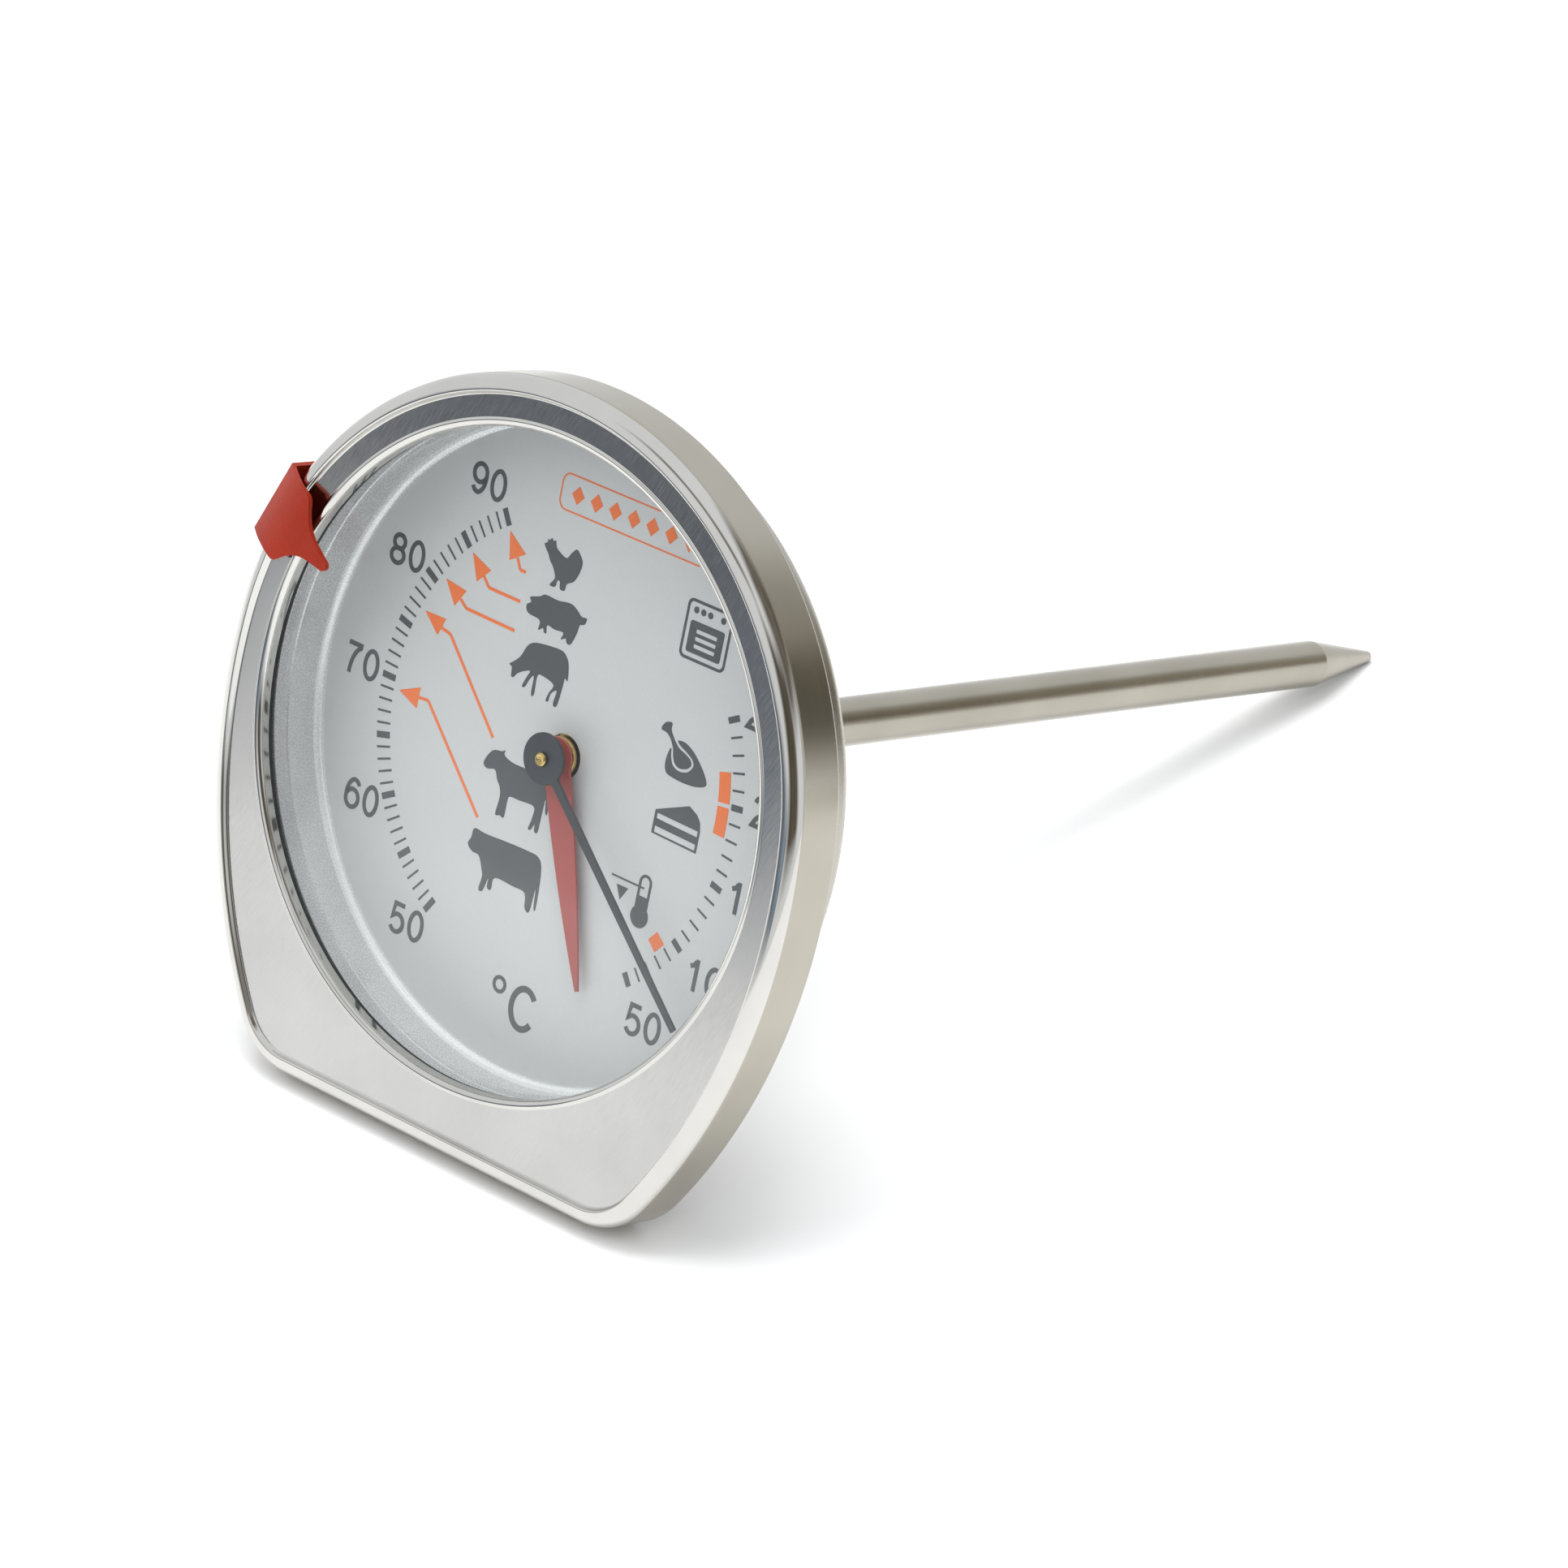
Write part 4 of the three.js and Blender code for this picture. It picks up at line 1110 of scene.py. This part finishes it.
# Each animal's outline, in the dial's X and Z.
ROOSTER = [
    (-6.75, 17.45), (-6.45, 17.68), (-6.42, 17.98), (-6.2, 17.95), (-6.02, 18.2), (-5.8, 18.0),
    (-5.55, 18.12), (-5.4, 17.8), (-5.15, 17.45), (-4.0, 17.0), (-3.5, 17.6), (-3.0, 18.1), (-2.5, 17.8),
    (-2.05, 17.2), (-2.15, 16.3), (-2.6, 15.3), (-3.35, 14.8), (-3.5, 14.15), (-4.05, 14.15), (-4.2, 14.75),
    (-4.5, 14.75), (-4.65, 14.15), (-5.3, 14.15), (-4.85, 14.9), (-5.25, 15.7), (-5.75, 16.2), (-6.1, 16.7),
    (-6.4, 17.0),
]
PIG = [
    (-7.2, 12.4), (-6.1, 12.8), (-5.5, 13.15), (-4.0, 13.1), (-2.6, 13.3), (-1.8, 13.1), (-1.0, 12.6),
    (-0.35, 12.6), (-0.5, 12.0), (-1.0, 11.8), (-1.15, 11.0), (-1.6, 9.85), (-2.1, 9.8), (-2.3, 10.15),
    (-2.85, 9.9), (-2.7, 10.55), (-3.75, 10.5), (-4.65, 10.6), (-4.6, 9.88), (-4.9, 9.88), (-5.1, 10.2),
    (-5.6, 9.88), (-5.65, 10.75), (-7.1, 10.95), (-7.45, 11.6), (-7.0, 12.0),
]
CALF = [
    (-8.1, 5.9), (-7.7, 6.25), (-7.0, 6.95), (-6.5, 8.0), (-6.0, 8.5), (-5.0, 8.8), (-2.6, 9.0),
    (-1.75, 8.6), (-1.35, 7.9), (-1.15, 6.6), (-1.5, 6.7), (-1.6, 5.6), (-1.85, 4.05), (-2.3, 4.1),
    (-2.15, 5.35), (-2.75, 4.9), (-2.9, 4.15), (-3.2, 4.15), (-3.0, 4.9), (-2.65, 5.75), (-4.0, 6.1),
    (-4.65, 5.9), (-4.65, 4.2), (-5.0, 4.15), (-5.05, 5.75), (-5.5, 5.25), (-5.85, 4.5), (-6.2, 4.5),
    (-5.85, 5.4), (-5.6, 6.05), (-6.4, 5.75), (-7.0, 5.35), (-7.35, 4.9), (-7.65, 4.95), (-7.75, 5.7),
]
LAMB = [
    (-8.85, -3.5), (-8.1, -2.2), (-7.0, -1.9), (-6.6, -1.7), (-6.6, -2.15), (-5.3, -2.5), (-2.5, -2.4),
    (-1.1, -2.6), (-0.6, -3.6), (-0.5, -5.5), (-0.75, -5.5), (-1.0, -4.3), (-1.1, -6.0), (-1.2, -7.5),
    (-1.6, -7.5), (-1.7, -6.9), (-2.0, -7.5), (-2.35, -7.5), (-2.1, -6.4), (-2.2, -5.4), (-4.0, -5.45),
    (-5.1, -5.5), (-5.3, -6.0), (-5.35, -7.5), (-5.85, -7.5), (-6.4, -7.55), (-6.25, -6.0), (-6.45, -5.1),
    (-6.95, -4.5), (-7.4, -3.75), (-8.35, -3.95),
]
COW = [
    (-8.4, -9.6), (-7.0, -9.65), (-4.0, -9.5), (-1.5, -9.45), (-0.6, -9.55), (-0.05, -10.1), (0.2, -11.5),
    (0.3, -14.1), (0.05, -14.1), (-0.15, -12.4), (-0.35, -14.6), (-0.95, -14.5), (-1.3, -13.2),
    (-2.75, -13.1), (-5.0, -13.1), (-5.2, -14.25), (-5.7, -14.25), (-5.75, -13.4), (-6.15, -14.7),
    (-6.65, -14.7), (-6.5, -13.5), (-6.75, -12.8), (-7.35, -11.8), (-8.2, -11.7), (-8.85, -11.2),
    (-8.6, -10.5),
]


def oven_icon():
    left = 10.5
    bottom = 12.9
    right = 15.83
    top = 18.27
    line = 0.27
    door_inset = 0.67
    outer = rounded_rect(left, bottom, right, top, 0.6)
    inner = rounded_rect(left + line, bottom + line, right - line, top - line, 0.4)
    door = rounded_rect(left + door_inset, bottom + door_inset, right - door_inset, bottom + 3.5, 0.25)
    bars = [rounded_rect(12, z - 0.18, 14.4, z + 0.18, 0.08) for z in (14.23, 14.9, 15.57)]
    dots = [[circle_loop(0.3, x, 17.35, 16)] for x in (11.56, 12.38, 13.2, 14.73)]
    return [[outer, inner], [door, *bars], *dots]


def roast_icon():
    leg = [
        (10.34, 6.1), (10.45, 6.55), (10.8, 6.92), (11.4, 7.0), (11.45, 6.4), (12.0, 5.7), (12.65, 5.15),
        (13.4, 4.9), (14.1, 4.6), (14.38, 4.15), (14.0, 3.68), (13.2, 3.44), (12.6, 3.62), (12.25, 4.1),
        (12.0, 4.9), (11.5, 5.65), (10.95, 6.0),
    ]
    body = [
        (12.4, 5.69), (12.8, 5.83), (13.5, 5.75), (14.5, 5.25), (15.6, 4.3), (16.3, 3.45), (16.4, 2.95),
        (15.9, 2.65), (15.0, 2.43), (13.7, 2.35), (12.1, 2.48), (11.6, 2.85), (11.46, 3.5), (11.56, 4.3),
        (11.8, 4.88), (12.0, 4.05), (12.4, 3.42), (13.2, 3.18), (14.1, 3.42), (14.62, 4.1), (14.35, 4.65),
        (13.5, 5.1), (12.85, 5.35),
    ]
    return [[smooth_loop(leg)], [smooth_loop(body)]]


def cake_icon():
    crust = [(15.1, 0.65), (16.1, 0.2), (16.6, -0.35), (16.8, -1.1)]
    outline = [(11.46, -3.0), (11.46, -0.87), *crust, (16.8, -3.13)]
    upper = [(11.75, -1.1), (16.55, -1.18), (16.55, -1.7), (11.75, -1.6)]
    lower = [(11.75, -2.28), (16.55, -2.38), (16.55, -2.93), (11.75, -2.85)]
    return [[outline, upper, lower]]


def thermometer_icon():
    centre = 12.0
    bulb_z = -10.62
    bulb = 1.03
    half = 0.74
    inner = 0.47
    top = -7.53
    liquid_z = -8.8
    level_z = -8.05
    level_line = 0.17
    neck = math.degrees(math.asin(half / bulb))
    bowl = oval(centre, bulb_z, bulb, bulb, 90 + neck, 450 - neck, 30)
    outline = oval(centre, top, half, half, 0, 180, 12) + bowl
    dome = oval(centre, top, inner, inner, 0, 180, 12)
    hollow = [*dome, (centre - inner, liquid_z), (centre + inner, liquid_z)]
    level = bar((8.06, level_z), (centre - half, level_z), level_line)
    level_end = bar((centre - inner, level_z), (centre - 0.05, level_z), level_line)
    mark = [(8.81, -8.69), (10.19, -8.69), (9.48, -9.94)]
    return [[outline, hollow], [level], [level_end], [mark]]


def dark_print(bm):
    shapes = [*meat_scale(), *oven_scale(), *oven_icon(), *roast_icon(), *cake_icon(), *thermometer_icon()]
    shapes.extend([smooth_loop(animal)] for animal in (ROOSTER, PIG, CALF, LAMB, COW))
    shapes.append([circle_loop(radius, -2.1, -22.1, 32) for radius in (0.83, 0.47)])
    for loops in shapes:
        prism_into(bm, loops, INK_FRONT, INK_BACK)
    for text, x, z in NUMERALS:
        number_into(bm, text, x, z)
    celsius_stroke = 0.6
    stroke_into(bm, oval(1.1, -23.3, 1.42, 1.85, 38, 322, 40), celsius_stroke)


def arrow(head, shaft):
    """An arrow of a head, as three corners, and a shaft of straight bars along its points."""
    width = 0.3
    bars = [bar(a, b, width) for a, b in zip(shaft, shaft[1:])]
    return [[outline] for outline in (head, *bars)]


def plate_print():
    """A thin rounded frame round a row of plain lozenges."""
    line = 0.15
    outer = rounded_rect(-6.1, 21.0, 11.5, 24.4, 0.9)
    inner = rounded_rect(-6.1 + line, 21.0 + line, 11.5 - line, 24.4 - line, 0.9 - line)
    shapes = [[outer, inner]]
    lozenges = 7
    first_x = -4.0
    row_length = 13.4
    middle_z = 22.7
    half_width = 0.75
    half_height = 0.85
    for k in range(lozenges):
        x = first_x + row_length * k / (lozenges - 1)
        shapes.append([[(x - half_width, middle_z), (x, middle_z + half_height),
                        (x + half_width, middle_z), (x, middle_z - half_height)]])
    return shapes


def orange_print(bm):
    arrows = [
        ([(-10.94, 17.31), (-8.63, 15.84), (-10.38, 14.75)], [(-9.5, 15.25), (-8.94, 14.31), (-8.25, 14.31)]),
        ([(-14.73, 14.07), (-12.25, 13.16), (-13.65, 11.69)],
         [(-12.94, 12.44), (-12.13, 11.63), (-8.25, 11.6)]),
        ([(-17.23, 10.83), (-14.6, 10.5), (-15.67, 8.77)], [(-15.1, 9.6), (-14.27, 9.0), (-8.25, 8.9)]),
        ([(-18.93, 7.27), (-16.33, 7.33), (-17.0, 5.6)], [(-16.7, 6.4), (-15.5, 6.17), (-8.33, -1.1)]),
        ([(-20.23, -0.63), (-17.77, 0.43), (-17.77, -1.57)], [(-17.8, -0.5), (-16.6, -0.43), (-8.33, -8.57)]),
    ]
    shapes = []
    for head, shaft in arrows:
        shapes.extend(arrow(head, shaft))
    for start, end in ((75.1, 83.3), (84.4, 92.2), (128, 132)):
        shapes.append(arc_block(18.2, 19.5, start, end))
    shapes.extend(plate_print())
    for loops in shapes:
        prism_into(bm, loops, INK_FRONT, INK_BACK)


def make_print():
    prints = [("dial_print_dark", dark_print, "ink"), ("dial_print_orange", orange_print, "orange_ink")]
    for name, draw, finish_name in prints:
        bm = bmesh.new()
        draw(bm)
        place_piece(name, mesh_from(bm, name), [finish_name], "head", "dial_silver")


# ---- CAD nodes that stay ----

KEPT_NODES = {
    "pressure_ring": "fitting",
    "spiral_collet": "brass",
    "arbor_bearing": "brass",
    "oven_bimetal_spiral": "bimetal",
    "spiral_anchor": "brass",
    "helix_collar": "brass",
    "spindle_guide_1": "brass",
    "spindle_guide_2": "brass",
    "meat_bimetal_helix": "bimetal",
    "helix_anchor_plug": "brass",
}


def dress_kept_nodes():
    for name, finish_name in KEPT_NODES.items():
        slots = frame["nodes"][name].data.materials
        slots.clear()
        slots.append(FINISHES[finish_name])


# ---- Stage, camera and light ----

def stage_object(name, bm, material):
    mesh = mesh_from(bm, name)
    mesh.materials.append(material)
    piece = bpy.data.objects.new(name, mesh)
    bpy.context.scene.collection.objects.link(piece)
    return piece


def seen_by_steel_only(piece):
    for ray in ("camera", "diffuse", "shadow", "transmission"):
        setattr(piece, "visible_" + ray, False)


def make_floor():
    nodes = Nodes("floor_paper")
    color = nodes.blend(nodes.noise(40, 2.0, 0.5), (0.85, 0.85, 0.85), (0.86, 0.86, 0.86))
    nodes.finish(color, Roughness=0.6, Specular_IOR_Level=0.2)
    bm = bmesh.new()
    bmesh.ops.create_grid(bm, x_segments=1, y_segments=1, size=3)
    stage_object("floor", bm, nodes.material)


ROOM_COLOR = (0.93, 0.95, 0.97)
HORIZON_RADIUS = 0.36
HORIZON_HEIGHT = 0.7
# Each dark patch: its direction, the cosines between which it fades in towards that direction, the
# heights between which it fades in upwards and downwards, and its two colours.
HORIZON_PATCHES = [
    ((-0.242, -0.970, 0.32), (0.92, 0.95), (0.003, 0.024), (0.12, 0.065),
     (0.10, 0.075, 0.075), (0.30, 0.39, 0.48)),
    ((0.52, 0.854, 0.0), (0.93, 0.985), (-0.02, -0.01), (0.28, 0.12),
     (0.28, 0.25, 0.195), (0.44, 0.40, 0.325)),
    ((0.94, 0.34, 0.0), (0.45, 0.90), (0.16, 0.26), (1.0, 0.9),
     (0.14, 0.12, 0.10), (0.26, 0.23, 0.20)),
    ((0.68, -0.735, 0.0), (0.86, 0.96), (0.02, 0.07), (0.42, 0.30),
     (0.09, 0.075, 0.05), (0.18, 0.16, 0.13)),
    ((-0.08, -0.997, 0.0), (0.80, 0.95), (0.37, 0.43), (0.62, 0.55),
     (0.26, 0.25, 0.23), (0.38, 0.37, 0.35)),
    ((0.707, 0.707, 0.0), (0.965, 0.995), (0.02, 0.06), (0.20, 0.14),
     (0.08, 0.072, 0.055), (0.18, 0.16, 0.13)),
]


def horizon_material():
    """The room's horizon as the steel sees it: pale, with darker patches low in front and behind."""
    nodes = Nodes("horizon")
    place = nodes.add("ShaderNodeTexCoord")
    parts = nodes.add("ShaderNodeSeparateXYZ")
    nodes.link(place.outputs["Object"], parts.inputs["Vector"])
    clouds = nodes.noise(9, 3.0, 0.6)
    glow = nodes.add("ShaderNodeEmission")
    color = None
    for direction, facing_range, low_range, high_range, dark, light in HORIZON_PATCHES:
        facing = nodes.add("ShaderNodeVectorMath", operation="DOT_PRODUCT")
        facing.inputs[1].default_value = [c / HORIZON_RADIUS for c in direction]
        nodes.link(place.outputs["Object"], facing.inputs[0])
        mask = nodes.spread(facing.outputs["Value"], 0, 1, *facing_range)
        for limits in (low_range, high_range):
            mask = nodes.product(mask, nodes.spread(parts.outputs["Z"], 0, 1, *limits))
        mix = nodes.add("ShaderNodeMix", data_type="RGBA")
        under, over = (socket for socket in mix.inputs if socket.type == "RGBA")
        nodes.link(mask, mix.inputs["Factor"])
        under.default_value = (*ROOM_COLOR, 1)
        if color is not None:
            nodes.link(color, under)
        nodes.link(nodes.blend(clouds, dark, light), over)
        color = next(socket for socket in mix.outputs if socket.type == "RGBA")
    nodes.link(color, glow.inputs["Color"])
    nodes.link(glow.outputs["Emission"], nodes.output.inputs["Surface"])
    return nodes.material


def make_horizon():
    """A drum round the object that only glossy reflections see."""
    segments = 96
    bm = bmesh.new()
    around = oval(0, 0, HORIZON_RADIUS, HORIZON_RADIUS, 90, -270, segments)[:-1]
    rows = [[bm.verts.new((x, y, z)) for x, y in around] for z in (0, HORIZON_HEIGHT)]
    for k in range(segments):
        j = (k + 1) % segments
        bm.faces.new((rows[0][k], rows[0][j], rows[1][j], rows[1][k]))
    bm.faces.new(rows[1])
    seen_by_steel_only(stage_object("horizon", bm, horizon_material()))


def aimed(position, target):
    """A matrix at position whose -Z looks at target."""
    direction = Vector(target) - Vector(position)
    return Matrix.Translation(position) @ direction.to_track_quat("-Z", "Y").to_matrix().to_4x4()


def make_light(name, position, target, size, power):
    light = bpy.data.lights.new(name, "AREA")
    light.shape = "SQUARE"
    light.size = size
    light.energy = power
    lamp = bpy.data.objects.new(name, light)
    bpy.context.scene.collection.objects.link(lamp)
    lamp.matrix_world = aimed(position, target)
    lamp.visible_glossy = False


SHADE_SIZE = 0.08
SHADE_PLACE = (0.135, 0.15, 0.001)


def make_floor_shade():
    """A dark soft patch on the table behind the head, which only the steel's reflections see."""
    nodes = Nodes("floor_shade")
    place = nodes.add("ShaderNodeTexCoord")
    reach = nodes.add("ShaderNodeVectorMath", operation="LENGTH")
    nodes.link(place.outputs["Object"], reach.inputs[0])
    glow = nodes.add("ShaderNodeEmission")
    glow.inputs["Color"].default_value = (0.42, 0.38, 0.31, 1)
    clear = nodes.add("ShaderNodeBsdfTransparent")
    fade = nodes.spread(reach.outputs["Value"], 0, 1, SHADE_SIZE * 0.4, SHADE_SIZE)
    nodes.surface_mix(fade, glow.outputs["Emission"], clear.outputs["BSDF"])
    bm = bmesh.new()
    bmesh.ops.create_grid(bm, x_segments=1, y_segments=1, size=SHADE_SIZE)
    patch = stage_object("floor_shade", bm, nodes.material)
    patch.location = SHADE_PLACE
    seen_by_steel_only(patch)


def make_studio():
    world = bpy.data.worlds.new("studio")
    world.use_nodes = True
    background = world.node_tree.nodes["Background"]
    background.inputs["Color"].default_value = (*ROOM_COLOR, 1)
    background.inputs["Strength"].default_value = 0.8
    bpy.context.scene.world = world
    make_light("overhead", (-0.06, -0.04, 0.75), (0, 0, 0.02), 0.45, 4.0)
    make_light("fill_right", (0.42, -0.3, 0.45), (0, -0.03, 0.02), 0.5, 1.0)
    make_light("key_front", (-0.3, -0.45, 0.5), (0, -0.05, 0.03), 0.5, 1.3)


CAMERA_AZIMUTH = 42.572
CAMERA_ELEVATION = 28.317
CAMERA_ROLL = 0.42
CAMERA_DISTANCE = 0.67054
CAMERA_AIM = (-0.00364, -0.01597, 0.01675)
PICTURE_WIDTH = 1932
FOCAL_PIXELS = 9000


def make_camera():
    data = bpy.data.cameras.new("camera")
    data.sensor_width = 36
    data.lens = data.sensor_width * FOCAL_PIXELS / PICTURE_WIDTH
    data.clip_start = 0.01
    data.clip_end = 20
    camera = bpy.data.objects.new("camera", data)
    bpy.context.scene.collection.objects.link(camera)
    azimuth = math.radians(CAMERA_AZIMUTH)
    elevation = math.radians(CAMERA_ELEVATION)
    level = Vector((math.sin(azimuth), -math.cos(azimuth), 0))
    back = level * math.cos(elevation) + Vector((0, 0, math.sin(elevation)))
    aim = Vector(CAMERA_AIM)
    roll = Matrix.Rotation(math.radians(CAMERA_ROLL), 4, "Z")
    camera.matrix_world = aimed(aim + back * CAMERA_DISTANCE, aim) @ roll
    bpy.context.scene.camera = camera
    bpy.context.scene.view_settings.view_transform = "Standard"


# ---- Build ----

make_camera()
make_floor()
make_horizon()
make_floor_shade()
make_studio()
make_front_case()
make_gasket()
make_glass()
make_dial_pan()
make_back_cover()
make_probe()
make_stem_washer()
make_stem_nut()
make_stem_collar()
make_meat_pointer()
make_oven_pointer()
make_spindle()
make_brass_rings()
make_clip()
make_print()
dress_kept_nodes()
